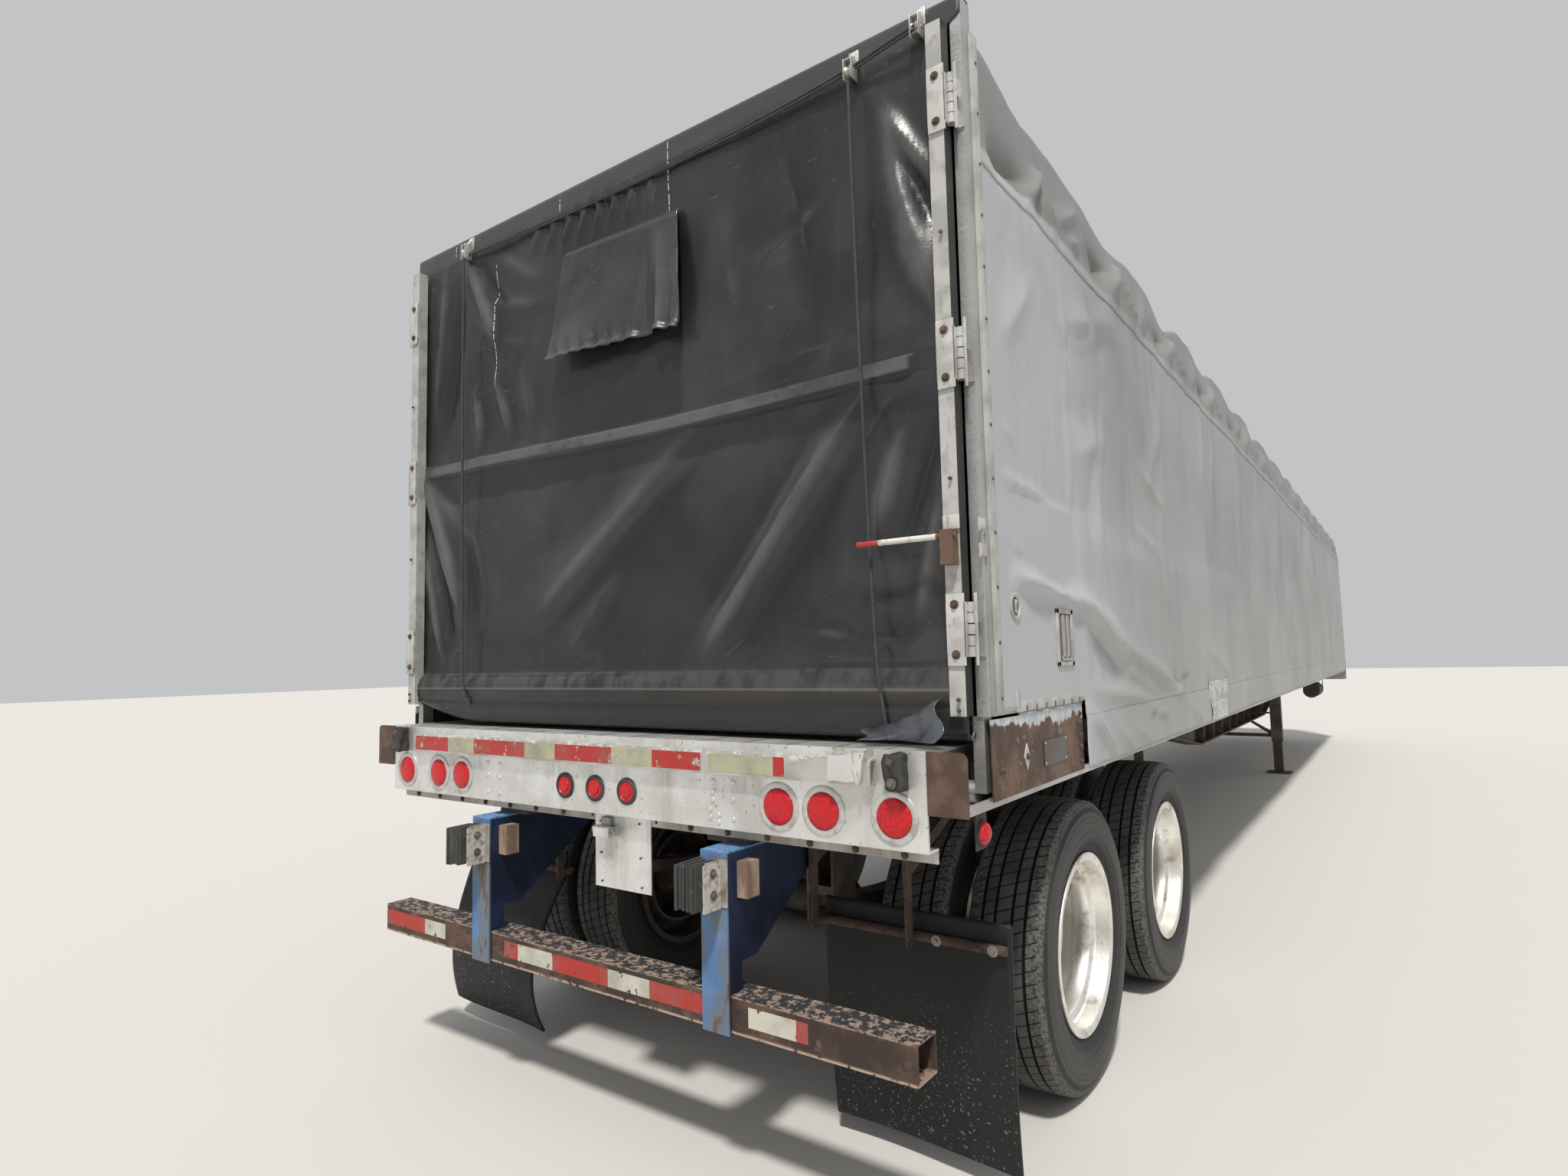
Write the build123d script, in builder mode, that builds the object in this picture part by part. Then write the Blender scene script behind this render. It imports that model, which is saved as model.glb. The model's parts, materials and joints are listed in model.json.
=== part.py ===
"""Covered flatbed semi trailer with a sliding tarpaulin cover, standing on its landing legs.

Millimetres, +Z up, +Y towards the tractor, +X to the kerb side. The origin is on the ground at the
middle of the trailer. Distances along the trailer are measured ahead of the rear sill's face.
"""

from build123d import *
import math
import os

os.makedirs("parts", exist_ok=True)

# Overall sizes
half_width = 1300
deck_length = 14600
bumper_reach = 150
deck_top = 1250
roof_top = 3280

# Deck and main frame
plank_thickness = 30
plank_count = 8
plank_gap = 4
beam_to_tyre = 129
beam_web = 10
beam_flange_width = 150
beam_flange = 14
cross_member_height = 100
cross_member_flange = 40
cross_member_wall = 5
cross_member_pitch = 600
first_cross_member = 350
last_member_clearance = 400
track_depth = 112
track_wall = 6
track_bottom = 1095
track_lip_height = 26
track_ledge = 20

# Rear sill and its fittings
sill_wall = 8
sill_bottom = 1000
sill_shelf_depth = 120
lip_set_back = 50
lip_bottom = 967
lamp_hole_radius = 52
lamp_height = 1080
lamp_ring_radius = 68
marker_hole_radius = 32
lamp_insets = (92, 306, 453)
marker_places = (-150, -4, 142)
side_lamp_at, side_lamp_height = 142, 1036

# Running gear
tyre_radius = 484
tyre_width = 270
tyre_wall = 18
bead_half = 86
seat_gap = 0.3
dual_spacing = 320
wheel_inset = 81
rear_axle_at = 1150
axle_spacing = 1220
rim_radius = 286
rim_flange_radius = 300
rim_wall = 12
disc_wall = 22
disc_offset = 160
pilot_radius = 110
axle_radius = 63.5
spindle_radius = 45
running_gap = 1

# Landing gear and coupler
leg_setback = 4600
leg_outreach = 300
leg_outer = 115
leg_inner = 95
leg_sleeve_bottom = 366
shaft_radius = 14
shaft_hole_radius = 24
shaft_height = 830
gearbox_bottom, gearbox_top, gearbox_depth = 760, 900, 70
kingpin_setback = 910
kingpin_neck_radius, kingpin_neck = 25.4, 35
kingpin_shoulder_radius, kingpin_shoulder = 36.5, 13
kingpin_collar_radius, kingpin_collar = 35.7, 36

# Sliding cover
bow_count = 13
bow_wall = 38
bow_width = 30
cover_wall = 3
crease_height = 2870
hip_height = 3215
hip_inset = 62
roof_crown = 40
cover_bottom = 1112
frame_at = 150
frame_depth = 60
frame_bar = 32
side_panel_length = 710
side_panel_top = 1800
side_panel_bottom = 1326
strip_gap = 4
strip_radius = 3.5
strip_knuckles = 9
sheet_wall = 4
moving_gap = 5

# Hinged rear posts
post_bottom = 1330
post_top = 3195
post_inset = 86
post_width = 46
post_depth = 40
post_wall = 4
hinge_inset = 27
knuckle_radius = 9
curtain_wall = 8
curtain_lap = 20
curtain_bottom = 1325
knuckle_length = 140
knuckle_split = 18
hinge_gap = 0.3
hinge_heights = (1550, 2270, 2970)

# Places that follow from the driving sizes
overall_length = deck_length + bumper_reach
leg_at = deck_length - leg_setback
kingpin_at = deck_length - kingpin_setback
shaft_at = leg_at + leg_outer / 2 + gearbox_depth / 2
sill_y = bumper_reach - overall_length / 2
plank_bottom = deck_top - plank_thickness
track_outer_x = half_width - 10
track_web_x = half_width - track_depth
cover_outer_x = half_width
hip_x = half_width - hip_inset
post_inner_x = half_width - post_inset
hinge_x = half_width - hinge_inset
cover_inner_x = cover_outer_x - cover_wall
frame_outer_x = cover_outer_x - 1 - sheet_wall
bow_outer_x = frame_outer_x - moving_gap
outer_tyre_x = half_width - wheel_inset - tyre_width / 2
inner_tyre_x = outer_tyre_x - dual_spacing
disc_x = (outer_tyre_x + inner_tyre_x) / 2
beam_x = inner_tyre_x - tyre_width / 2 - beam_to_tyre
leg_x = beam_x + leg_outreach
axle_places = {"rear": rear_axle_at, "front": rear_axle_at + axle_spacing}
sides = {"right": 1, "left": -1}
bulkhead_depth = 60
bulkhead_at = deck_length - bulkhead_depth
front_rail_depth = 24
front_rail_at = deck_length - front_rail_depth
cover_front_at = deck_length - 20
cover_rear_at = frame_at + frame_depth
curtain_at = frame_at - curtain_wall
post_front_at = curtain_at - moving_gap - 1
hinge_at = post_front_at - post_depth / 2
header_bottom = post_top + moving_gap + 20


def ahead(distance):
    """Y of a place that lies this far ahead of the rear sill's face."""
    return sill_y + distance


def upright_plane(distance):
    """Plane across the trailer, local x to the kerb side and local y up, seen from behind."""
    return Plane(origin=(0, ahead(distance), 0), x_dir=(1, 0, 0), z_dir=(0, -1, 0))


def save(piece, name):
    """Labels a finished sub-part and writes it."""
    piece.part.label = name
    export_step(piece.part, f"parts/{name}.step")


CORNER = (Align.MIN, Align.MIN, Align.MIN)


def block(x0, x1, d0, d1, z0, z1, mode=Mode.ADD):
    """Box between two corners; d0 and d1 are measured ahead of the sill."""
    with Locations((x0, ahead(d0), z0)):
        Box(x1 - x0, d1 - d0, z1 - z0, align=CORNER, mode=mode)


def both_sides(x0, x1, d0, d1, z0, z1, mode=Mode.ADD):
    """The same box on the kerb side and on the road side."""
    block(x0, x1, d0, d1, z0, z1, mode)
    block(-x1, -x0, d0, d1, z0, z1, mode)


# Main beams: fish-belly I-beams, deep from ahead of the wheels to the landing legs.
# Columns of belly: distance ahead of the sill, height of the underside.
deep_from, deep_to = 6700, deck_length - 3700
belly = [(56, 950), (4300, 950), (deep_from, 620), (deep_to, 620), (deck_length - 1900, 962),
         (front_rail_at, 962)]
rib_pitch, rib_wall, rib_margin = 480, 10, 150
rib_count = 1 + int((deep_to - deep_from - rib_margin) // rib_pitch)
beam_start, beam_end = belly[0][0], belly[-1][0]
under_line = [(ahead(d), z) for d, z in belly]
over_line = [(ahead(d), z + beam_flange) for d, z in reversed(belly)]
with BuildPart() as main_beams:
    with BuildSketch(Plane.YZ.offset(beam_x - beam_web / 2)):
        with BuildLine():
            Polyline(*under_line, (ahead(beam_end), plank_bottom), (ahead(beam_start), plank_bottom),
                     close=True)
        make_face()
    extrude(amount=beam_web)
    with BuildSketch(Plane.YZ.offset(beam_x - beam_flange_width / 2)):
        with BuildLine():
            Polyline(*under_line, *over_line, close=True)
        make_face()
    extrude(amount=beam_flange_width)
    block(beam_x - beam_flange_width / 2, beam_x + beam_flange_width / 2, beam_start, beam_end,
          plank_bottom - beam_flange, plank_bottom)
    # Upright stiffeners on the outer side of the deep part
    for rib in range(rib_count):
        at = deep_from + rib_margin + rib * rib_pitch
        block(beam_x, beam_x + beam_flange_width / 2 - 8, at, at + rib_wall, belly[2][1] + beam_flange,
              plank_bottom - beam_flange)
    with BuildSketch(Plane.YZ.offset(beam_x - beam_web)):
        with Locations((ahead(shaft_at), shaft_height)):
            Circle(shaft_hole_radius)
    extrude(amount=2 * beam_web, mode=Mode.SUBTRACT)
    mirror(about=Plane.YZ)
save(main_beams, "main_beams")

# Cross members: channels between the side tracks, notched round the main beams
cross_member_run = deck_length - last_member_clearance - first_cross_member
cross_member_count = cross_member_run // cross_member_pitch + 1
cross_places = [first_cross_member + n * cross_member_pitch for n in range(cross_member_count)]
with BuildPart() as cross_members:
    with BuildSketch(Plane.YZ.offset(-track_web_x)):
        for at in cross_places:
            with Locations((ahead(at), plank_bottom - cross_member_height / 2)):
                Rectangle(cross_member_flange, cross_member_height)
            with Locations((ahead(at) + cross_member_wall, plank_bottom - cross_member_height / 2)):
                Rectangle(cross_member_flange, cross_member_height - 2 * cross_member_wall,
                          mode=Mode.SUBTRACT)
    extrude(amount=2 * track_web_x)
    both_sides(beam_x - beam_flange_width / 2, beam_x + beam_flange_width / 2, 0, deck_length,
               plank_bottom - beam_flange, plank_bottom, Mode.SUBTRACT)
    both_sides(beam_x - beam_web / 2, beam_x + beam_web / 2, 0, deck_length,
               plank_bottom - cross_member_height, plank_bottom, Mode.SUBTRACT)
save(cross_members, "cross_members")

# Deck: long planks side by side
plank_pitch = (2 * track_web_x - plank_gap) / plank_count
with BuildPart() as deck_planks:
    for n in range(plank_count):
        x0 = -track_web_x + plank_gap + n * plank_pitch
        block(x0, x0 + plank_pitch - plank_gap, sill_shelf_depth, front_rail_at, plank_bottom, deck_top)
save(deck_planks, "deck_planks")

# Side tracks: open outwards, the cover's rollers run on the lower flange behind the upturned lip
with BuildPart() as side_tracks:
    with BuildSketch(upright_plane(0)):
        for side in sides.values():
            for x0, x1, z0, z1 in (
                (track_web_x, track_web_x + track_wall, track_bottom, deck_top),
                (track_web_x, track_outer_x, track_bottom, track_bottom + track_wall),
                (track_outer_x - track_wall, track_outer_x, track_bottom, track_bottom + track_lip_height),
                (track_web_x, track_web_x + track_ledge, deck_top - track_wall, deck_top),
            ):
                with Locations((side * (x0 + x1) / 2, (z0 + z1) / 2)):
                    Rectangle(x1 - x0, z1 - z0)
    extrude(amount=-front_rail_at)
save(side_tracks, "side_tracks")

# Rear sill: face plate, top shelf, bottom shelf and the lip set back under it
lamp_places = [side * (track_web_x - inset) for side in sides.values() for inset in lamp_insets]
with BuildPart() as rear_sill:
    block(-track_web_x, track_web_x, 0, sill_wall, sill_bottom, deck_top)
    block(-track_web_x, track_web_x, 0, sill_shelf_depth, deck_top - sill_wall, deck_top)
    block(-track_web_x, track_web_x, 0, lip_set_back + 6, sill_bottom, sill_bottom + 6)
    block(-track_web_x, track_web_x, lip_set_back, lip_set_back + 6, lip_bottom, sill_bottom + 6)
    with BuildSketch(upright_plane(0)):
        with Locations(*[(x, lamp_height) for x in lamp_places]):
            Circle(lamp_hole_radius)
        with Locations(*[(x, lamp_height) for x in marker_places]):
            Circle(marker_hole_radius)
    extrude(amount=-sill_wall, mode=Mode.SUBTRACT)
    # Bolt holes along the lip
    with BuildSketch(upright_plane(lip_set_back)):
        with GridLocations(146, 1, 16, 1):
            with Locations((0, (lip_bottom + sill_bottom) / 2)):
                Circle(6)
    extrude(amount=-6, mode=Mode.SUBTRACT)
save(rear_sill, "rear_sill")

# Raised channel along the sill that carries the reflective tape
tape_bar_reach = 30
tape_bar_left, tape_bar_right = 178 - track_web_x, track_web_x - 142
tape_bar_bottom, tape_bar_top, tape_bar_wall = 1160, 1226, 5
with BuildPart() as tape_bar:
    block(tape_bar_left, tape_bar_right, -tape_bar_reach, 0, tape_bar_bottom, tape_bar_top)
    block(tape_bar_left, tape_bar_right, -tape_bar_reach + tape_bar_wall, 0, tape_bar_bottom + tape_bar_wall,
          tape_bar_top - tape_bar_wall, Mode.SUBTRACT)
save(tape_bar, "tape_bar")

# Plates that close the ends of the side tracks
end_plate_wall = 6
with BuildPart() as track_end_plates:
    for side in sides.values():
        with BuildSketch(upright_plane(0)) as plate:
            with Locations((side * (track_web_x + 4 + half_width) / 2, (track_bottom + deck_top) / 2)):
                Rectangle(half_width - track_web_x - 4, deck_top - track_bottom)
            outer = plate.vertices().group_by(Axis.X)[-1 if side > 0 else 0].sort_by(Axis.Y)[-1]
            fillet(outer, radius=18)
        extrude(amount=end_plate_wall)
save(track_end_plates, "track_end_plates")


def lamp(plane_at, x, z, ring_radius, body_radius, depth):
    """Round lamp: a mounting ring on the sheet with the lamp's body through the hole."""
    with BuildSketch(upright_plane(plane_at)) as ring:
        with Locations((x, z)):
            Circle(ring_radius)
    extrude(ring.sketch, amount=8)
    with BuildSketch(upright_plane(plane_at)) as body:
        with Locations((x, z)):
            Circle(body_radius)
    extrude(body.sketch, amount=-depth)


# Rear lamps in the sill, and side marker lamps on small plates below the side tracks
side_lamp_x = half_width - 34
with BuildPart() as lamps:
    for x in lamp_places:
        lamp(0, x, lamp_height, lamp_ring_radius, lamp_hole_radius - running_gap, 40)
    for x in marker_places:
        lamp(0, x, lamp_height, marker_hole_radius + 11, marker_hole_radius - running_gap, 30)
    both_sides(side_lamp_x - 4, side_lamp_x, side_lamp_at - 34, side_lamp_at + 34, side_lamp_height - 41,
               track_bottom)
    for side in sides.values():
        with BuildSketch(Plane.YZ.offset(side * side_lamp_x)):
            with Locations((ahead(side_lamp_at), side_lamp_height)):
                Circle(30)
        extrude(amount=side * 24)
save(lamps, "lamps")

# Licence panel hung on the sill's lip, with its lamp
licence_wall = 4
licence_left, licence_right, licence_bottom = -54, 200, 757
licence_lamp = (-20, 50, 925, 955)
licence_lamp_depth = 42
with BuildPart() as licence_panel:
    block(licence_left, licence_right, lip_set_back - licence_wall, lip_set_back, licence_bottom, sill_bottom)
    x0, x1, z0, z1 = licence_lamp
    block(x0, x1, lip_set_back - licence_wall - licence_lamp_depth, lip_set_back - licence_wall, z0, z1)
save(licence_panel, "licence_panel")

# Rear guard: two channel uprights with gussets, and the square tube that they carry
guard_tube_size = 100
guard_tube_wall = 6
guard_half_length = half_width - 140
guard_bottom = 460
guard_face_at = -40
upright_x = beam_x + 40
upright_width = 96
upright_wall = 8
upright_face_at = guard_face_at - 12
upright_depth = 62
upright_bottom = guard_bottom - 6
upright_top = belly[0][1]
gusset_front, gusset_foot, gusset_depth, gusset_toe = 420, 180, 70, 70
fit_gap = 0.5
angle_wall = 6
stop_reach, stop_length = 44, 54
buffer_width = 84
buffer_bottom, buffer_top = 800, 930
buffer_inset = 60
pad_insets = (100, 46)
pad_reach = 46
with BuildPart() as guard_uprights:
    x0, x1 = upright_x - upright_width / 2, upright_x + upright_width / 2
    back = upright_face_at + upright_depth
    block(x0, x1, upright_face_at, upright_face_at + upright_wall, upright_bottom, upright_top)
    block(x0, x0 + upright_wall, upright_face_at, back, upright_bottom, upright_top)
    block(x1 - upright_wall, x1, upright_face_at, back, upright_bottom, upright_top)
    block(x0, x1, upright_face_at, gusset_front, upright_top - upright_wall, upright_top)
    # Gussets: upright edge, then the sloping lower edge up to the beam
    for gusset_x in (x0, x1 - upright_wall):
        with BuildSketch(Plane.YZ.offset(gusset_x)):
            with BuildLine():
                foot = guard_bottom + gusset_foot
                Polyline((ahead(back), foot), (ahead(back + gusset_depth), foot),
                         (ahead(gusset_front), upright_top - gusset_toe), (ahead(gusset_front), upright_top),
                         (ahead(back), upright_top), close=True)
            make_face()
        extrude(amount=upright_wall)
    block(x0 - 1, x1 + 1, guard_face_at - fit_gap, guard_face_at + guard_tube_size + fit_gap,
          guard_bottom - fit_gap, guard_bottom + guard_tube_size + fit_gap, Mode.SUBTRACT)
    mirror(about=Plane.YZ)
    # Steel angle on one side of each rubber buffer, and the stop block on the other side
    for side in sides.values():
        angle_x = side * upright_x - buffer_inset + buffer_width
        block(angle_x, angle_x + angle_wall, -bumper_reach + 24, upright_face_at, buffer_bottom - 4,
              buffer_top - 6)
        inner = side * upright_x + upright_width / 2
        block(inner, inner + stop_reach, -14, stop_length - 14, buffer_bottom + 20, buffer_top - 10)
save(guard_uprights, "guard_uprights")

with BuildPart() as guard_tube:
    block(-guard_half_length, guard_half_length, guard_face_at, guard_face_at + guard_tube_size,
          guard_bottom, guard_bottom + guard_tube_size)
    block(-guard_half_length, guard_half_length, guard_face_at + guard_tube_wall,
          guard_face_at + guard_tube_size - guard_tube_wall, guard_bottom + guard_tube_wall,
          guard_bottom + guard_tube_size - guard_tube_wall, Mode.SUBTRACT)
save(guard_tube, "guard_tube")

# Rubber buffers: laminated blocks behind the uprights, and the pads bolted to the sill's top corners
with BuildPart() as rubber_buffers:
    for side in sides.values():
        x0 = side * upright_x - buffer_inset
        block(x0, x0 + buffer_width, -bumper_reach, upright_face_at, buffer_bottom, buffer_top)
    fillet(rubber_buffers.edges().filter_by(Axis.X).group_by(Axis.Y)[0], radius=10)
    both_sides(track_web_x - pad_insets[0], track_web_x - pad_insets[1], -pad_reach, 0,
               lamp_height + lamp_ring_radius + 4, deck_top - 6)
    fillet(rubber_buffers.edges().filter_by(Axis.Y).group_by(Axis.Z)[-1], radius=14)
save(rubber_buffers, "rubber_buffers")

# Mud flaps and the bars that carry them
flap_at = 400
flap_wall = 8
flap_width = 610
flap_bottom, flap_top = 50, 735
flap_bar_height = 668
flap_bar_radius = 14
with BuildPart() as mud_flaps:
    both_sides(disc_x - flap_width / 2, disc_x + flap_width / 2, flap_at, flap_at + flap_wall,
               flap_bottom, flap_top)
save(mud_flaps, "mud_flaps")

# Each arm hangs from the first cross member, with a brace to the second. Points are (ahead, height).
arm_wall = 10
arm_places = (disc_x - 324, disc_x + 6)
arm_bottom, arm_bend, arm_shoulder = 645, 800, 930
arm_depth = 32
brace_low, brace_top = 840, 882
flap_bar_at = flap_at - flap_bar_radius
arm_front = flap_bar_at - flap_bar_radius
first_member = (first_cross_member - cross_member_flange / 2, first_cross_member + cross_member_flange / 2)
second_member = tuple(d + cross_member_pitch for d in first_member)
member_bottom = plank_bottom - cross_member_height
arm_outline = [(arm_front - arm_depth, arm_bottom), (arm_front, arm_bottom), (arm_front, arm_bend),
               (first_member[1], arm_shoulder), (first_member[1], member_bottom),
               (first_member[0], member_bottom), (first_member[0], arm_shoulder),
               (arm_front - arm_depth, arm_bend)]
brace_outline = [(first_member[1] - 2, brace_low), (second_member[1], member_bottom - 14),
                 (second_member[1], member_bottom), (second_member[0], member_bottom),
                 (first_member[1] - 2, brace_top)]
with BuildPart() as flap_brackets:
    for x in arm_places:
        for outline in (arm_outline, brace_outline):
            with BuildSketch(Plane.YZ.offset(x)):
                with BuildLine():
                    Polyline(*[(ahead(d), z) for d, z in outline], close=True)
                make_face()
            extrude(amount=arm_wall)
    with BuildSketch(Plane.YZ.offset(arm_places[0] - 20)):
        with Locations((ahead(flap_bar_at), flap_bar_height)):
            Circle(flap_bar_radius)
    extrude(amount=disc_x + flap_width / 2 - arm_places[0] + 10)
    mirror(about=Plane.YZ)
save(flap_brackets, "flap_brackets")


def hub_plane(distance):
    """Plane through an axle's centreline: local x runs across the trailer, local y outwards from the axle."""
    return Plane(origin=(0, ahead(distance), tyre_radius), x_dir=(1, 0, 0), z_dir=(0, -1, 0))


def hub_axis(distance):
    """Centreline that a wheel turns about."""
    return Axis((0, ahead(distance), tyre_radius), (1, 0, 0))


def tyre_section(centre, side):
    """Carcass open towards the rim: tread, shoulders, sidewalls and beads."""
    half, bead, wall = tyre_width / 2, bead_half, tyre_wall
    seat = rim_radius + seat_gap
    with BuildSketch(hub_plane(axle_at)) as section:
        with BuildLine():
            c = side * centre
            Line((c - bead, seat), (c - bead - wall, seat))
            Line((c - bead - wall, seat), (c - bead - wall, seat + 20))
            ThreePointArc((c - bead - wall, seat + 20), (c - half, seat + 98),
                          (c - half + 16, tyre_radius - 30))
            ThreePointArc((c - half + 16, tyre_radius - 30), (c - half + 21, tyre_radius - 12),
                          (c - half + 36, tyre_radius - 4))
            ThreePointArc((c - half + 36, tyre_radius - 4), (c, tyre_radius),
                          (c + half - 36, tyre_radius - 4))
            ThreePointArc((c + half - 36, tyre_radius - 4), (c + half - 21, tyre_radius - 12),
                          (c + half - 16, tyre_radius - 30))
            ThreePointArc((c + half - 16, tyre_radius - 30), (c + half, seat + 98),
                          (c + bead + wall, seat + 20))
            Line((c + bead + wall, seat + 20), (c + bead + wall, seat))
            Line((c + bead + wall, seat), (c + bead, seat))
            ThreePointArc((c + bead, seat), (c + half - wall, seat + 88), (c + half - 44, tyre_radius - 30))
            Line((c + half - 44, tyre_radius - 30), (c - half + 44, tyre_radius - 30))
            ThreePointArc((c - half + 44, tyre_radius - 30), (c - half + wall, seat + 88), (c - bead, seat))
        make_face()
    revolve(section.sketch, axis=hub_axis(axle_at))


def rim_section(centre, side, facing):
    """Rim barrel with its two flanges, dished to the disc that bolts to the hub."""
    c, reach = side * centre, side * facing
    edge, lip = 116, 8
    profile = [(edge, rim_flange_radius), (edge, rim_radius - rim_wall), (40, rim_radius - rim_wall - 8),
               (-56, rim_radius - rim_wall - 8), (-116, 214), (-disc_offset + disc_wall, 190),
               (-disc_offset + disc_wall, pilot_radius), (-disc_offset, pilot_radius), (-disc_offset, 204),
               (-116 - 10, 232), (-84, rim_radius - rim_wall), (-edge, rim_radius - rim_wall),
               (-edge, rim_flange_radius), (-edge + lip, rim_flange_radius), (-edge + lip, rim_radius),
               (edge - lip, rim_radius), (edge - lip, rim_flange_radius)]
    with BuildSketch(hub_plane(axle_at)) as section:
        with BuildLine():
            Polyline(*[(c + reach * x, r) for x, r in profile], close=True)
        make_face()
    revolve(section.sketch, axis=hub_axis(axle_at))


# Wheels: on each axle end a pair of tyres, their two rims bolted back to back, and the hub with its drum
hand_hole_circle, hand_hole_radius, hand_holes = 226, 30, 10
drum_radius, drum_wall = 209, 13
for axle_name, axle_at in axle_places.items():
    for side_name, side in sides.items():
        wheel = f"{axle_name}_{side_name}"
        with BuildPart() as tyres:
            tyre_section(outer_tyre_x, side)
            tyre_section(inner_tyre_x, side)
        save(tyres, f"{wheel}_tyres")

        with BuildPart() as rims:
            rim_section(outer_tyre_x, side, 1)
            rim_section(inner_tyre_x, side, -1)
            face = Plane(origin=(side * disc_x, ahead(axle_at), tyre_radius), x_dir=(0, 1, 0),
                         z_dir=(1, 0, 0))
            with BuildSketch(face):
                with PolarLocations(hand_hole_circle, hand_holes):
                    Circle(hand_hole_radius)
            extrude(amount=60, both=True, mode=Mode.SUBTRACT)
        save(rims, f"{wheel}_rims")

        hub_profile = [(disc_x - disc_wall, pilot_radius - 1), (disc_x - disc_wall, 168),
                       (disc_x - disc_wall - 24, 168), (disc_x - disc_wall - 24, drum_radius),
                       (disc_x - 240, drum_radius), (disc_x - 240, drum_radius - drum_wall),
                       (disc_x - disc_wall - 38, drum_radius - drum_wall), (disc_x - disc_wall - 38, 100),
                       (disc_x - 150, 84), (disc_x - 150, spindle_radius + running_gap),
                       (disc_x + 60, spindle_radius + running_gap), (disc_x + 60, 0), (disc_x + 112, 0),
                       (disc_x + 112, 62), (disc_x + 84, 78), (disc_x + 76, pilot_radius - 12),
                       (disc_x + 30, pilot_radius - 1)]
        with BuildPart() as hub:
            with BuildSketch(hub_plane(axle_at)):
                with BuildLine():
                    Polyline(*[(side * x, r) for x, r in hub_profile], close=True)
                make_face()
            revolve(axis=hub_axis(axle_at))
        save(hub, f"{wheel}_hub")

# Axles: tubes with spindles and the seats under the springs
spring_seat_top = tyre_radius + axle_radius + 20
tube_end = disc_x - 250
chamber_radius, chamber_length, chamber_x = 80, 150, beam_x - 200
chamber_at, chamber_height = 120, tyre_radius + 60
with BuildPart() as axles:
    for axle_at in axle_places.values():
        with BuildSketch(Plane.YZ.offset(-tube_end)):
            with Locations((ahead(axle_at), tyre_radius)):
                Circle(axle_radius)
        extrude(amount=2 * tube_end)
        with BuildSketch(Plane.YZ.offset(-disc_x - 55)):
            with Locations((ahead(axle_at), tyre_radius)):
                Circle(spindle_radius)
        extrude(amount=2 * (disc_x + 55))
        both_sides(beam_x - 45, beam_x + 45, axle_at - 70, axle_at + 70, tyre_radius, spring_seat_top)
    # Brake chambers on brackets behind each axle tube
    for axle_at in axle_places.values():
        for side in sides.values():
            with BuildSketch(upright_plane(axle_at - chamber_at)):
                with Locations((side * chamber_x, chamber_height)):
                    Circle(chamber_radius)
            extrude(amount=chamber_length)
            bracket_x = side * chamber_x
            block(bracket_x - 20, bracket_x + 20, axle_at - chamber_at, axle_at, tyre_radius - 12,
                  tyre_radius + 12)
            block(bracket_x - 20, bracket_x + 20, axle_at - chamber_at, axle_at - chamber_at + 12,
                  tyre_radius - 12, chamber_height)
save(axles, "axles")

# Leaf springs between the hangers, bowed down over the axle seats
spring_half, spring_rise, spring_stack, spring_width = 555, 70, 50, 76
spring_end_top = spring_seat_top + spring_rise + spring_stack
with BuildPart() as leaf_springs:
    for axle_at in axle_places.values():
        with BuildSketch(Plane.YZ.offset(beam_x - spring_width / 2)):
            with BuildLine():
                a, b, low = ahead(axle_at - spring_half), ahead(axle_at + spring_half), spring_seat_top
                ThreePointArc((a, low + spring_rise), (ahead(axle_at), low), (b, low + spring_rise))
                Line((b, low + spring_rise), (b, low + spring_rise + spring_stack))
                ThreePointArc((b, low + spring_rise + spring_stack), (ahead(axle_at), low + spring_stack),
                              (a, low + spring_rise + spring_stack))
                Line((a, low + spring_rise + spring_stack), (a, low + spring_rise))
            make_face()
        extrude(amount=spring_width)
    mirror(about=Plane.YZ)
save(leaf_springs, "leaf_springs")

# Spring hangers: pairs of cheeks under each beam. Columns: distance ahead, half length of the cheeks.
hangers = [(rear_axle_at - spring_half + 20, 70), (rear_axle_at + axle_spacing / 2, 110),
           (rear_axle_at + axle_spacing + spring_half - 20, 70)]
cheek_gap, cheek_wall, cheek_bottom = 45, 10, 590
beam_bottom = belly[0][1]
with BuildPart() as spring_hangers:
    for at, half in hangers:
        for x0 in (beam_x - cheek_gap - cheek_wall, beam_x + cheek_gap):
            block(x0, x0 + cheek_wall, at - half, at + half, cheek_bottom, beam_bottom)
        block(beam_x - cheek_gap, beam_x + cheek_gap, at - half, at + half, beam_bottom - 14, beam_bottom)
    for at, half in (hangers[0], hangers[2]):
        block(beam_x - cheek_gap, beam_x + cheek_gap, at - half, at + half, spring_end_top,
              spring_end_top + 30)
    mirror(about=Plane.YZ)
save(spring_hangers, "spring_hangers")

# Equalisers: rocker bars under the middle hangers, resting on both spring ends
equaliser_at, equaliser_half = hangers[1][0], 150
with BuildPart() as equalisers:
    with BuildSketch(Plane.YZ.offset(beam_x - spring_width / 2)):
        with BuildLine():
            base = spring_end_top
            start, end = ahead(equaliser_at - equaliser_half), ahead(equaliser_at + equaliser_half)
            Polyline((start, base), (end, base), (end, base + 26), (ahead(equaliser_at + 40), base + 80),
                     (ahead(equaliser_at - 40), base + 80), (start, base + 26), close=True)
        make_face()
    extrude(amount=spring_width)
    with BuildSketch(Plane.YZ.offset(beam_x - cheek_gap)):
        with Locations((ahead(equaliser_at), spring_end_top + 46)):
            Circle(20)
    extrude(amount=2 * cheek_gap)
    mirror(about=Plane.YZ)
save(equalisers, "equalisers")

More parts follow.
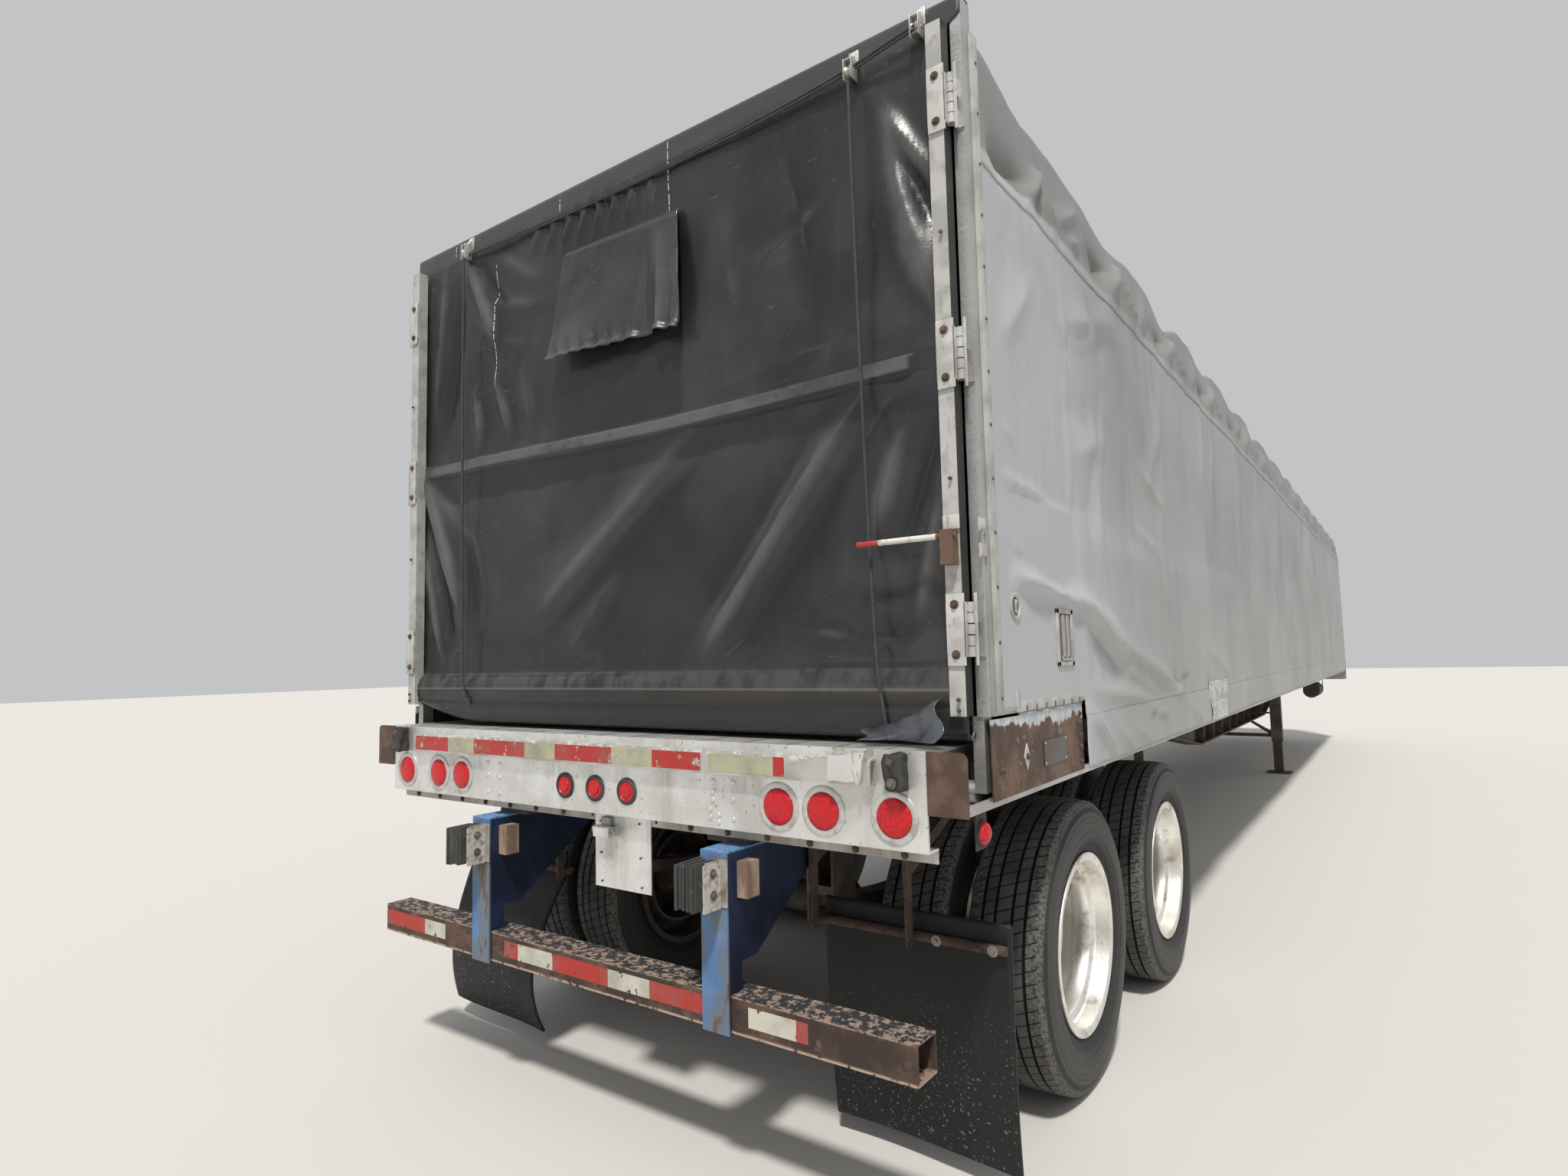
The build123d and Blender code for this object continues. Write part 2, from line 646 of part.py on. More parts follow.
# Coupler: the plate under the front of the beams with its standard two inch kingpin
coupler_plate = 12
coupler_length, coupler_half_width = 1100, beam_x + 75
beam_front_bottom = belly[-1][1]
with BuildPart() as coupler:
    block(-coupler_half_width, coupler_half_width, kingpin_at - coupler_length / 2,
          kingpin_at + coupler_length / 2, beam_front_bottom - coupler_plate, beam_front_bottom)
    # The pin from the plate down: shoulder, neck that the jaws close on, and collar
    height = beam_front_bottom - coupler_plate
    for radius, length in ((kingpin_shoulder_radius, kingpin_shoulder), (kingpin_neck_radius, kingpin_neck),
                           (kingpin_collar_radius, kingpin_collar)):
        with BuildSketch(Plane.XY.offset(height)) as pin:
            with Locations((0, ahead(kingpin_at))):
                Circle(radius)
        extrude(pin.sketch, amount=-length)
        height -= length
save(coupler, "coupler")

# Landing legs: fixed sleeves with their gearboxes, and the inner legs with feet let down to the ground
foot_size, foot_wall = 250, 12
leg_wall = 8
leg_top = member_bottom
brace_height, brace_size = 440, 40
hanger_heights = (700, 960)
with BuildPart() as leg_sleeves:
    outer, inner = leg_outer / 2, leg_outer / 2 - leg_wall
    block(leg_x - outer, leg_x + outer, leg_at - outer, leg_at + outer, leg_sleeve_bottom, leg_top)
    block(leg_x - inner, leg_x + inner, leg_at - inner, leg_at + inner, leg_sleeve_bottom, leg_top - 12,
          Mode.SUBTRACT)
    block(leg_x - 40, leg_x + 40, leg_at + outer, leg_at + outer + gearbox_depth, gearbox_bottom, gearbox_top)
    # Hanger plates from the beam's web to the sleeve
    for height in hanger_heights:
        block(beam_x + beam_web / 2, leg_x - outer, leg_at - 50, leg_at + 50, height, height + 14)
    mirror(about=Plane.YZ)
    # Cross bracing between the legs: one bar across and two diagonals up to the beams
    reach = leg_x - leg_outer / 2
    block(-reach, reach, leg_at - 6, leg_at + 6, brace_height - brace_size / 2, brace_height + brace_size / 2)
    for side in sides.values():
        with BuildSketch(upright_plane(leg_at - 6)):
            with BuildLine():
                Polyline((side * reach, brace_height), (side * reach, brace_height + 50),
                         (side * (beam_x + 30), belly[2][1]), (side * (beam_x - 20), belly[2][1]), close=True)
            make_face()
        extrude(amount=-12)
save(leg_sleeves, "leg_sleeves")

with BuildPart() as inner_legs:
    outer, inner = leg_inner / 2, leg_inner / 2 - leg_wall
    block(leg_x - outer, leg_x + outer, leg_at - outer, leg_at + outer, foot_wall, leg_top - 12)
    block(leg_x - inner, leg_x + inner, leg_at - inner, leg_at + inner, foot_wall, leg_top - 12,
          Mode.SUBTRACT)
    foot = foot_size / 2
    block(leg_x - foot, leg_x + foot, leg_at - foot, leg_at + foot, 0, foot_wall)
    mirror(about=Plane.YZ)
save(inner_legs, "inner_legs")

# Crank on the road side that winds both legs, with the shaft that joins their gearboxes
crank_reach, crank_drop, handle_reach, handle_size = 370, 230, 80, 24
with BuildPart() as leg_crank:
    with BuildSketch(Plane.YZ.offset(-(leg_x - 40))):
        with Locations((ahead(shaft_at), shaft_height)):
            Circle(shaft_radius)
    extrude(amount=2 * (leg_x - 40))
    with BuildSketch(Plane.YZ.offset(-(leg_x + 40))):
        with Locations((ahead(shaft_at), shaft_height)):
            Circle(handle_size / 2)
    extrude(amount=-(crank_reach - 40))
    inner, half = crank_reach - handle_size, handle_size / 2
    block(-(leg_x + crank_reach), -(leg_x + inner), shaft_at - half, shaft_at + half,
          shaft_height - crank_drop, shaft_height + 16)
    block(-(leg_x + crank_reach + handle_reach), -(leg_x + inner), shaft_at - half, shaft_at + half,
          shaft_height - crank_drop - handle_size, shaft_height - crank_drop)
save(leg_crank, "leg_crank")

# Air tank on hangers under the front of the deck
tank_overhang, tank_radius, tank_x, tank_height = 50, 105, half_width - 360, 850
strap_wall = 8
tank_members = cross_places[-3], cross_places[-2]
tank_at = tank_members[0] - tank_overhang
tank_length = cross_member_pitch + 2 * tank_overhang
with BuildPart() as air_tank:
    with BuildSketch(upright_plane(tank_at)):
        with Locations((tank_x, tank_height)):
            Circle(tank_radius)
    extrude(amount=-tank_length)
    for at in tank_members:
        for x0 in (tank_x - tank_radius, tank_x + tank_radius - strap_wall):
            block(x0, x0 + strap_wall, at - cross_member_flange / 2, at + cross_member_flange / 2,
                  tank_height, member_bottom)
save(air_tank, "air_tank")


def cover_profile(outer_x, drop):
    """Outline of the cover's section: sides, hips and the low crown of the roof, drop below the outside."""
    half = [(outer_x, cover_bottom), (outer_x, crease_height), (hip_x - drop, hip_height - drop)]
    return half + [(0, hip_height + roof_crown - drop)] + [(-x, z) for x, z in reversed(half)]


# Front bulkhead: corner posts, top rail, sill rail and the sheet between them, with upright stiffeners
bulkhead_post = 90
stiffener_count, stiffener_pitch, stiffener_width = 5, 400, 40
opening_top = crease_height
with BuildPart() as front_bulkhead:
    with BuildSketch(upright_plane(bulkhead_at)):
        with BuildLine():
            Polyline(*cover_profile(cover_inner_x, cover_wall), close=True)
        make_face()
        with Locations((0, (deck_top + opening_top) / 2)):
            Rectangle(2 * (cover_inner_x - bulkhead_post), opening_top - deck_top, mode=Mode.SUBTRACT)
        Rectangle(2 * cover_inner_x, 2 * deck_top, mode=Mode.SUBTRACT)
    extrude(amount=-bulkhead_depth)
    block(-cover_inner_x + bulkhead_post, cover_inner_x - bulkhead_post, front_rail_at,
          front_rail_at + sheet_wall, deck_top, opening_top)
    block(-cover_inner_x, cover_inner_x, front_rail_at, deck_length, beam_front_bottom, deck_top)
    for n in range(stiffener_count):
        x = (n - (stiffener_count - 1) / 2) * stiffener_pitch
        half = stiffener_width / 2
        block(x - half, x + half, bulkhead_at, front_rail_at, deck_top, opening_top)
save(front_bulkhead, "front_bulkhead")

# Cover bows. The outline goes from the kerb side foot over the roof; columns: x, height.
bow_foot = track_bottom + track_lip_height + moving_gap
leg_foot_x = track_outer_x - track_wall - moving_gap
hip_top = hip_height - cover_wall - moving_gap
bow_line = [(bow_outer_x, crease_height), (hip_x - cover_wall, hip_top),
            (0, hip_top + roof_crown)]
inner_line = [(bow_outer_x - bow_wall, crease_height - 6), (hip_x - bow_wall - 8, hip_top - bow_wall),
              (0, hip_top + roof_crown - bow_wall)]
roller_radius, roller_width, roller_gap = 30, 30, 0.5
roller_height = track_bottom + track_wall + roller_gap + roller_radius
bow_pitch = (bulkhead_at - frame_at - frame_depth / 2) / (bow_count + 1)
bow_places = [frame_at + frame_depth / 2 + bow_pitch * (n + 1) for n in range(bow_count)]
for number, bow_at in enumerate(bow_places, 1):
    with BuildPart() as bow:
        with BuildSketch(upright_plane(bow_at - bow_width / 2)):
            with BuildLine():
                Polyline((bow_outer_x, bow_foot), *bow_line, *[(-x, z) for x, z in reversed(bow_line[:-1])],
                         (-bow_outer_x, bow_foot), (-bow_outer_x + bow_wall, bow_foot),
                         *[(-x, z) for x, z in inner_line], *reversed(inner_line[:-1]),
                         (bow_outer_x - bow_wall, bow_foot), close=True)
            make_face()
        extrude(amount=-bow_width)
        # Rollers that run in the tracks
        for side in sides.values():
            with BuildSketch(Plane.YZ.offset(side * (bow_outer_x - bow_wall))):
                with Locations((ahead(bow_at), roller_height)):
                    Circle(roller_radius)
            extrude(amount=-side * roller_width)
    save(bow, f"bow_{number:02d}")

# Tarpaulin cover: one skin over the bows, fastened over the bulkhead in front and to the rear frame
with BuildPart() as tarpaulin:
    with BuildSketch(upright_plane(cover_rear_at + 6)):
        with BuildLine():
            Polyline(*cover_profile(cover_outer_x, 0), *reversed(cover_profile(cover_inner_x, cover_wall)),
                     close=True)
        make_face()
    extrude(amount=-(cover_front_at - cover_rear_at - 6))
    both_sides(cover_inner_x - 1, cover_outer_x + 1, 0, cover_rear_at + side_panel_length, 0, side_panel_top,
               Mode.SUBTRACT)
save(tarpaulin, "tarpaulin")

# Rear frame of the cover: two square bars, the header, and feet that run in the tracks
with BuildPart() as rear_frame:
    both_sides(frame_outer_x - frame_bar, frame_outer_x, frame_at, frame_at + frame_depth, side_panel_bottom,
               roof_top)
    block(-frame_outer_x, frame_outer_x, frame_at, frame_at + frame_depth, header_bottom, roof_top)
    for side in sides.values():
        foot_x = side * (leg_foot_x - frame_bar)
        low_x, high_x = sorted((foot_x, side * leg_foot_x))
        block(low_x, high_x, frame_at + 6, frame_at + frame_depth - 6, roller_height, side_panel_bottom)
        with BuildSketch(Plane.YZ.offset(foot_x)):
            with Locations((ahead(frame_at + frame_depth / 2), roller_height)):
                Circle(roller_radius)
        extrude(amount=-side * roller_width)
        # Frame leaves of the post hinges with their outer knuckles
        for z in hinge_heights:
            leaf_x = sorted((side * hinge_x, side * frame_outer_x))
            low, high = z - knuckle_length / 2, z + knuckle_length / 2
            block(leaf_x[0], leaf_x[1], frame_at - 6, frame_at, low, high)
            for z0, z1 in ((low, z - knuckle_split), (z + knuckle_split, high)):
                with BuildSketch(Plane.XY.offset(z0)):
                    with Locations((side * hinge_x, ahead(hinge_at))):
                        Circle(knuckle_radius)
                extrude(amount=z1 - z0)
                web_x = sorted((side * (hinge_x + 2), side * (hinge_x + knuckle_radius)))
                block(web_x[0], web_x[1], hinge_at, frame_at, z0, z1)
save(rear_frame, "rear_frame")

# Hinged posts: channels that clamp the rear curtain's edges, one each side
for side_name, side in sides.items():
    with BuildPart() as post:
        x0, x1 = sorted((side * post_inner_x, side * (post_inner_x + post_width)))
        d0, d1 = post_front_at - post_depth, post_front_at
        block(x0, x1, d0, d1, post_bottom, post_top)
        block(x0 + post_wall, x1 - post_wall, d0 + post_wall, d1 + 1, post_bottom - 1, post_top + 1,
              Mode.SUBTRACT)
        for z in hinge_heights:
            block(x0, x1, d0 - 4, d0, z - knuckle_length / 2, z + knuckle_length / 2)
            with BuildSketch(Plane.XY.offset(z - knuckle_split + hinge_gap)):
                with Locations((side * hinge_x, ahead(hinge_at))):
                    Circle(knuckle_radius)
            extrude(amount=2 * (knuckle_split - hinge_gap))
            reach = sorted((side * (post_inner_x + post_width - post_wall), side * hinge_x))
            block(reach[0], reach[1], hinge_at - 4, hinge_at + 4, z - knuckle_split + hinge_gap,
                  z + knuckle_split - hinge_gap)
    save(post, f"post_{side_name}")

# Latch rod through a bracket on the kerb side post
rod_height, rod_radius, rod_reach = 1790, 8, 244
bracket_drop, bracket_rise = 75, 15
rod_at = post_front_at - post_depth - 24
with BuildPart() as latch_rod:
    with BuildSketch(Plane.YZ.offset(post_inner_x - rod_reach)):
        with Locations((ahead(rod_at), rod_height)):
            Circle(rod_radius)
    extrude(amount=rod_reach + post_width)
    block(post_inner_x + 6, post_inner_x + post_width - 6, rod_at - 14, post_front_at - post_depth,
          rod_height - bracket_drop, rod_height + bracket_rise)
save(latch_rod, "latch_rod")

# Rear curtain: a hanging sheet with its mid batten and the roller pocket along its foot
curtain_half = frame_outer_x - frame_bar - 6
pocket_radius = 38
pocket_half = post_inner_x - 10
with BuildPart() as curtain:
    block(-curtain_half, curtain_half, curtain_at, frame_at, curtain_bottom + 40, header_bottom + curtain_lap)
    with BuildSketch(Plane.YZ.offset(-pocket_half)):
        with Locations((ahead(curtain_at + curtain_wall / 2), curtain_bottom + pocket_radius)):
            Circle(pocket_radius)
    extrude(amount=2 * pocket_half)
save(curtain, "curtain")

# Side panels behind the rear frame, and the hinged kick plates below them
kick_axis_height = side_panel_bottom - strip_gap
panel_x = frame_outer_x + sheet_wall / 2
strip_start, strip_end = frame_at + 200, cover_rear_at + side_panel_length - 10
strip_pitch = (strip_end - strip_start) / strip_knuckles


def strip_knuckle(side, number, edge):
    """One knuckle of the hinge strip, with the web that joins it to the sheet's edge above or below."""
    start = strip_start + number * strip_pitch
    with BuildSketch(upright_plane(start)) as knuckle:
        with Locations((side * panel_x, kick_axis_height)):
            Circle(strip_radius)
        with Locations((side * panel_x, (kick_axis_height + edge) / 2)):
            Rectangle(sheet_wall, abs(edge - kick_axis_height))
    extrude(knuckle.sketch, amount=-(strip_pitch - hinge_gap))


with BuildPart() as side_panels:
    for side in sides.values():
        x0, x1 = sorted((side * frame_outer_x, side * (frame_outer_x + sheet_wall)))
        block(x0, x1, frame_at + 20, cover_rear_at + side_panel_length, side_panel_bottom, side_panel_top)
        ring_x = side * (frame_outer_x + sheet_wall)
        with BuildSketch(Plane.YZ.offset(ring_x)):
            with Locations((ahead(frame_at + 208), 1620)):
                Circle(36)
        extrude(amount=side * 1)
        for number in range(0, strip_knuckles, 2):
            strip_knuckle(side, number, side_panel_bottom)
save(side_panels, "side_panels")

for side_name, side in sides.items():
    with BuildPart() as kick_plate:
        x0, x1 = sorted((side * frame_outer_x, side * (frame_outer_x + sheet_wall)))
        block(x0, x1, frame_at + 2, strip_end - 10, cover_bottom, kick_axis_height - strip_gap)
        for number in range(1, strip_knuckles, 2):
            strip_knuckle(side, number, kick_axis_height - strip_gap)
    save(kick_plate, f"kick_plate_{side_name}")

# Curtain ropes with their pulleys under the header
rope_radius = 5
rope_bottom = 1344
rope_at = curtain_at + curtain_wall / 2 - pocket_radius - rope_radius - 0.3
rope_places = (-903, 964)
corner_pulley_x = post_inner_x - 34
pulley_height = 3190
pulley_size = 28
hanger_bottom = header_bottom + curtain_lap + 2
with BuildPart() as curtain_ropes:
    for x in rope_places:
        with BuildSketch(Plane.XY.offset(rope_bottom)):
            with Locations((x, ahead(rope_at))):
                Circle(rope_radius)
        extrude(amount=pulley_height - 40 - rope_bottom)
save(curtain_ropes, "curtain_ropes")

with BuildPart() as pulleys:
    for x in (*rope_places, corner_pulley_x):
        half = pulley_size / 2
        block(x - half, x + half, rope_at - half, rope_at + half, pulley_height - 40, roof_top - 4)
        block(x - half, x + half, rope_at, frame_at, hanger_bottom, roof_top - 4)
save(pulleys, "pulleys")
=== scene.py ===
# %% [markdown]
# # A covered flatbed semi trailer
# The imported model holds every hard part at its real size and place. This lesson gives those parts their
# finishes, and builds what hangs, creases or is too fine for the model: the tarpaulin, the rear curtain,
# the treads, the bolts. Everything is in metres. Y runs forwards, X to the kerb side, and Z is up.

# %% Load the frame
import math
import random

import bmesh
import bpy
import numpy as np
from mathutils import Matrix, Vector, noise
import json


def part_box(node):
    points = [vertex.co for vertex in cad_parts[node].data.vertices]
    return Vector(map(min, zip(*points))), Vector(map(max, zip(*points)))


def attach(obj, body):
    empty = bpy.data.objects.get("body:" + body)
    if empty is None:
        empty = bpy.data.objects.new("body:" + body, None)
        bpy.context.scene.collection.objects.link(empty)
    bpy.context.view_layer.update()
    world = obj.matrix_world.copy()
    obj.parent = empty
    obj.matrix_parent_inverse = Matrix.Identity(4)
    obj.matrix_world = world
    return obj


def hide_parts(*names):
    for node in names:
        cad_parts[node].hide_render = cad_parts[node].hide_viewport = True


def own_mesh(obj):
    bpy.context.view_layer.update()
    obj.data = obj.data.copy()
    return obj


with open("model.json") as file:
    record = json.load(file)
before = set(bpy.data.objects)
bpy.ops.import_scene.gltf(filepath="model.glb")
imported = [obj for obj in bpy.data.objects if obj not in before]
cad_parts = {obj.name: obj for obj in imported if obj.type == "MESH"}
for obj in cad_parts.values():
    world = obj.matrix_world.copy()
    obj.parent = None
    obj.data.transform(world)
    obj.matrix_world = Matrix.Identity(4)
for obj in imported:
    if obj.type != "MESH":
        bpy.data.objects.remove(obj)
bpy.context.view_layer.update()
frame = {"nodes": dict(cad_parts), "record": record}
random.seed(7)
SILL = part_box("rear_sill")[0].y


def ahead(distance):
    """Y of a place that lies this far ahead of the rear sill's face."""
    return SILL + distance


# %% [markdown]
# The photographer stood behind the kerb side rear corner, close to the trailer and with a wide lens. The
# lens and the place were worked out from equal lamps, equal tyres and the legal width of a trailer, so the
# camera needs no trial and error: it gets a place, two angles and a slight roll.

# %% Camera
CAMERA_PLACE = Vector((2.178, ahead(-1.955), 1.486))
CAMERA_YAW, CAMERA_PITCH, CAMERA_ROLL = 0.6241, 0.0813, -0.0224
PHOTO_WIDTH = 2048
FOCAL_PIXELS = 1132.5

camera_data = bpy.data.cameras.new("camera")
camera_data.sensor_width = 36
camera_data.lens = camera_data.sensor_width * FOCAL_PIXELS / PHOTO_WIDTH
camera_data.clip_start = 0.02
camera_data.clip_end = 200
camera = bpy.data.objects.new("camera", camera_data)
bpy.context.scene.collection.objects.link(camera)
level_right = Vector((math.cos(CAMERA_YAW), math.sin(CAMERA_YAW), 0))
level_ahead = Vector((0, 0, 1)).cross(level_right)
forward = level_ahead * math.cos(CAMERA_PITCH) + Vector((0, 0, math.sin(CAMERA_PITCH)))
level_up = level_right.cross(forward)
right = level_right * math.cos(CAMERA_ROLL) + level_up * math.sin(CAMERA_ROLL)
up = level_up * math.cos(CAMERA_ROLL) - level_right * math.sin(CAMERA_ROLL)
facing = Matrix((right, up, -forward)).transposed().to_4x4()
camera.matrix_world = Matrix.Translation(CAMERA_PLACE) @ facing
bpy.context.scene.camera = camera
print("lens", round(camera_data.lens, 2), "mm")

# %% [markdown]
# A finish is a network of shader nodes. Written out node by node it is hard to read, so one small class
# wraps a socket and lets ordinary operators make Math nodes: `1 - mask * 0.5` is three nodes. A second
# class holds one material and makes any other node in a single call.


# %% Shader helpers
class Value:
    """A shader socket that can be used in an expression."""

    def __init__(self, tree, socket):
        self.tree = tree
        self.socket = socket

    def maths(self, operation, *operands, clamp=False):
        node = self.tree.nodes.new("ShaderNodeMath")
        node.operation = operation
        node.use_clamp = clamp
        for slot, operand in zip(node.inputs, operands):
            connect(self.tree, operand, slot)
        return Value(self.tree, node.outputs[0])

    def __add__(self, other):
        return self.maths("ADD", self, other)

    def __sub__(self, other):
        return self.maths("SUBTRACT", self, other)

    def __rsub__(self, other):
        return self.maths("SUBTRACT", other, self)

    def __mul__(self, other):
        return self.maths("MULTIPLY", self, other)

    __radd__ = __add__
    __rmul__ = __mul__

    def clamped(self):
        return self.maths("ADD", self, 0.0, clamp=True)


def connect(tree, value, socket):
    """Links a value to a socket, or writes a plain number or colour into it."""
    if isinstance(value, Value):
        tree.links.new(value.socket, socket)
    elif hasattr(value, "__len__") and len(value) == 3 and socket.type == "RGBA":
        socket.default_value = (*value, 1)
    else:
        socket.default_value = value


class Finish:
    """One material: its principled shader, and a way to add any node."""

    def __init__(self, name, metallic=0.0, coat=0.0):
        self.material = bpy.data.materials.new(name)
        self.material.use_nodes = True
        self.tree = self.material.node_tree
        self.shader = self.tree.nodes["Principled BSDF"]
        self.shader.inputs["Metallic"].default_value = metallic
        self.shader.inputs["Coat Weight"].default_value = coat

    def node(self, kind, settings, sockets, output=0):
        made = self.tree.nodes.new(kind)
        for name, value in settings.items():
            if name == "stops":
                ramp = made.color_ramp
                ramp.interpolation = "CONSTANT"
                for place, colour in value[len(ramp.elements):]:
                    ramp.elements.new(place)
                for element, (place, colour) in zip(ramp.elements, value):
                    element.position = place
                    element.color = colour
            else:
                setattr(made, name, value)
        for name, value in sockets.items():
            connect(self.tree, value, made.inputs[name])
        return Value(self.tree, made.outputs[output])

    def place(self, kind="Object"):
        return self.node("ShaderNodeTexCoord", {}, {}, kind)

    def stretched(self, scale):
        return self.node("ShaderNodeMapping", {}, {"Vector": self.place(), "Scale": scale})

    def mark(self, name):
        """Value that a mesh keeps at each of its points, such as the height of its folds."""
        return self.node("ShaderNodeAttribute", {"attribute_name": name}, {}, "Fac")

    def part(self, axis, kind="Object"):
        return self.node("ShaderNodeSeparateXYZ", {}, {"Vector": self.place(kind)}, axis)

    def noise(self, scale, detail=4, vector=None, roughness=0.55, distortion=0.0):
        vector = vector or self.place()
        return self.node("ShaderNodeTexNoise", {}, {"Scale": scale, "Detail": detail, "Roughness": roughness,
                                                    "Distortion": distortion, "Vector": vector})

    def step(self, value, low, high):
        """0 below low, 1 above high, and smooth between."""
        return self.node("ShaderNodeMapRange", {"interpolation_type": "SMOOTHSTEP"},
                         {"Value": value, "From Min": low, "From Max": high})

    def between(self, value, low, high, soft):
        """1 between low and high, with soft edges inside them, and 0 elsewhere."""
        return self.step(value, low, low + soft) * (1 - self.step(value, high - soft, high))

    def size_of(self, value):
        """The value without its sign."""
        return self.node("ShaderNodeMath", {"operation": "ABSOLUTE"}, {0: value})

    def wave(self, value):
        """Sine of the value, from -1 to 1."""
        return self.node("ShaderNodeMath", {"operation": "SINE"}, {0: value})

    def weave(self):
        """Threads of a cloth, 1/340 m apart on the map of its sheet."""
        return self.node("ShaderNodeTexChecker", {}, {"Scale": 340, "Vector": self.place("UV")}, 1)

    def mix(self, factor, first, second):
        made = self.tree.nodes.new("ShaderNodeMix")
        made.data_type = "RGBA"
        connect(self.tree, factor, made.inputs[0])
        connect(self.tree, first, made.inputs[6])
        connect(self.tree, second, made.inputs[7])
        return Value(self.tree, made.outputs[2])

    def colour(self, value):
        connect(self.tree, value, self.shader.inputs["Base Color"])

    def rough(self, value):
        connect(self.tree, value, self.shader.inputs["Roughness"])

    def metal(self, value):
        connect(self.tree, value, self.shader.inputs["Metallic"])

    def bump(self, height, distance, strength=1.0):
        """Raises the surface by height times distance, in metres."""
        sockets = {"Height": height, "Distance": distance, "Strength": strength}
        connect(self.tree, self.node("ShaderNodeBump", {}, sockets), self.shader.inputs["Normal"])


# %% [markdown]
# Most of the trailer is old metal, and old metal is never one colour. Each finish starts from its clean
# colour and is then spoilt by masks made from noise: large soft patches for dust, streaks that run down
# for rain, small sharp islands for chips and rust.


# %% Metal finishes
def worn_aluminium(name, tone=0.55, streak=0.35, roughness=0.38, dulled=0.78):
    """Bare aluminium sheet: streaks that run down, scratches and dull patches."""
    made = Finish(name, metallic=0.85)
    runs = made.noise(9, 5, made.stretched((1, 1, 0.12)))
    patches = made.noise(4, 6)
    grit = made.noise(70, 4)
    scratches = made.noise(30, 3, made.stretched((0.2, 0.2, 6)))
    dull = made.step(patches, 0.42, 0.62)
    dark = made.step(runs, 0.52, 0.74) * streak
    base = made.mix(dull, (tone, tone, tone * 0.98), (tone * dulled, tone * dulled, tone * dulled * 0.95))
    base = made.mix(dark, base, (0.13, 0.11, 0.09))
    base = made.mix(made.step(grit, 0.64, 0.72) * 0.5, base, (0.2, 0.18, 0.16))
    made.colour(base)
    made.rough(patches * 0.3 + made.step(scratches, 0.5, 0.7) * 0.08 + (roughness - 0.1))
    made.metal(0.85 - dark * 0.8)
    made.bump(patches * 0.7 + grit * 0.15 + scratches * 0.1, 0.004)
    return made.material


def chassis_paint(name, colour=(0.05, 0.036, 0.03), dust=0.5, rust=0.35):
    """Dark paint with road dust on it and rust at the chips."""
    made = Finish(name)
    patches = made.noise(6, 6)
    chips = made.noise(38, 6, roughness=0.7)
    rusty = made.step(chips, 0.56, 0.63) * rust
    dusty = made.step(patches, 0.4, 0.75) * dust
    base = made.mix(dusty, colour, (0.2, 0.165, 0.13))
    made.colour(made.mix(rusty, base, (0.2, 0.075, 0.035)))
    made.rough(0.55 + patches * 0.3)
    made.bump(chips * 0.6 + patches * 0.3, 0.003)
    return made.material


def rusted_steel(name, colour=(0.13, 0.075, 0.05)):
    """Brown paint that has mostly turned to rust, with darker scabs."""
    made = Finish(name)
    patches = made.noise(7, 7, roughness=0.62)
    scabs = made.noise(45, 7, roughness=0.7)
    base = made.mix(made.step(patches, 0.4, 0.62), colour, tuple(c * 1.7 for c in colour))
    base = made.mix(made.step(scabs, 0.55, 0.62), base, tuple(c * 0.45 for c in colour))
    base = made.mix(made.step(made.noise(17, 5), 0.64, 0.7) * 0.4, base, (0.3, 0.26, 0.23))
    made.colour(base)
    made.rough(0.62 + patches * 0.3)
    made.bump(scabs * 0.7 + patches * 0.4, 0.004)
    return made.material


def painted_guard(name):
    """Blue paint on the flanges, painted shade inside, scratched to rust, with the tan stop blocks beside
    them.
    """
    made = Finish(name)
    patches = made.noise(5, 6)
    scuffs = made.noise(16, 6, made.stretched((1, 1, 0.3)), roughness=0.62)
    grit = made.noise(60, 5)
    base = made.mix(made.step(patches, 0.42, 0.62), (0.065, 0.155, 0.34), (0.115, 0.225, 0.41))
    base = made.mix(made.step(scuffs, 0.40, 0.55) * 0.8, base, (0.135, 0.15, 0.16))
    base = made.mix(made.step(scuffs, 0.585, 0.64), base, (0.12, 0.075, 0.055))
    # Painted shade: the blue of the upright's inside, out of the light, is made far darker
    shaded_inside = made.step(made.part(1), ahead(-0.047), ahead(-0.044))
    painted_shade_blue = made.mix(made.step(patches, 0.4, 0.7), (0.003, 0.008, 0.028), (0.008, 0.022, 0.065))
    base = made.mix(shaded_inside, base, painted_shade_blue)
    bare = made.mix(made.step(grit, 0.5, 0.62) * 0.6, (0.5, 0.49, 0.46), (0.2, 0.12, 0.08))
    behind = 1 - made.step(made.part(1), ahead(-0.0560), ahead(-0.0545))
    base = made.mix(behind, base, bare)
    cap = made.step(made.part(2), 0.9435, 0.9465)
    base = made.mix(cap * made.step(grit, 0.3, 0.5), base, (0.13, 0.27, 0.5))
    across = made.part(0)
    right_stop = made.step(across, 0.594, 0.596)
    left_stop = made.step(across, -0.490, -0.488) * (1 - made.step(across, 0, 0.01))
    stop = (right_stop + left_stop).clamped()
    tan = made.mix(made.step(scuffs, 0.45, 0.6), (0.36, 0.26, 0.19), (0.2, 0.13, 0.095))
    base = made.mix(stop, base, tan)
    made.colour(base)
    made.rough(0.42 + patches * 0.3)
    made.bump(scuffs * 0.6 + grit * 0.15, 0.002)
    return made.material


def zinc(name, colour=(0.48, 0.47, 0.45), stain=0.3):
    """Plated steel, greyed and stained."""
    made = Finish(name, metallic=0.75)
    patches = made.noise(30, 5)
    base = made.mix(made.step(patches, 0.48, 0.66) * stain, colour, (0.22, 0.13, 0.08))
    made.colour(base)
    made.rough(0.4 + patches * 0.2)
    made.bump(made.noise(120, 3), 0.0008)
    return made.material


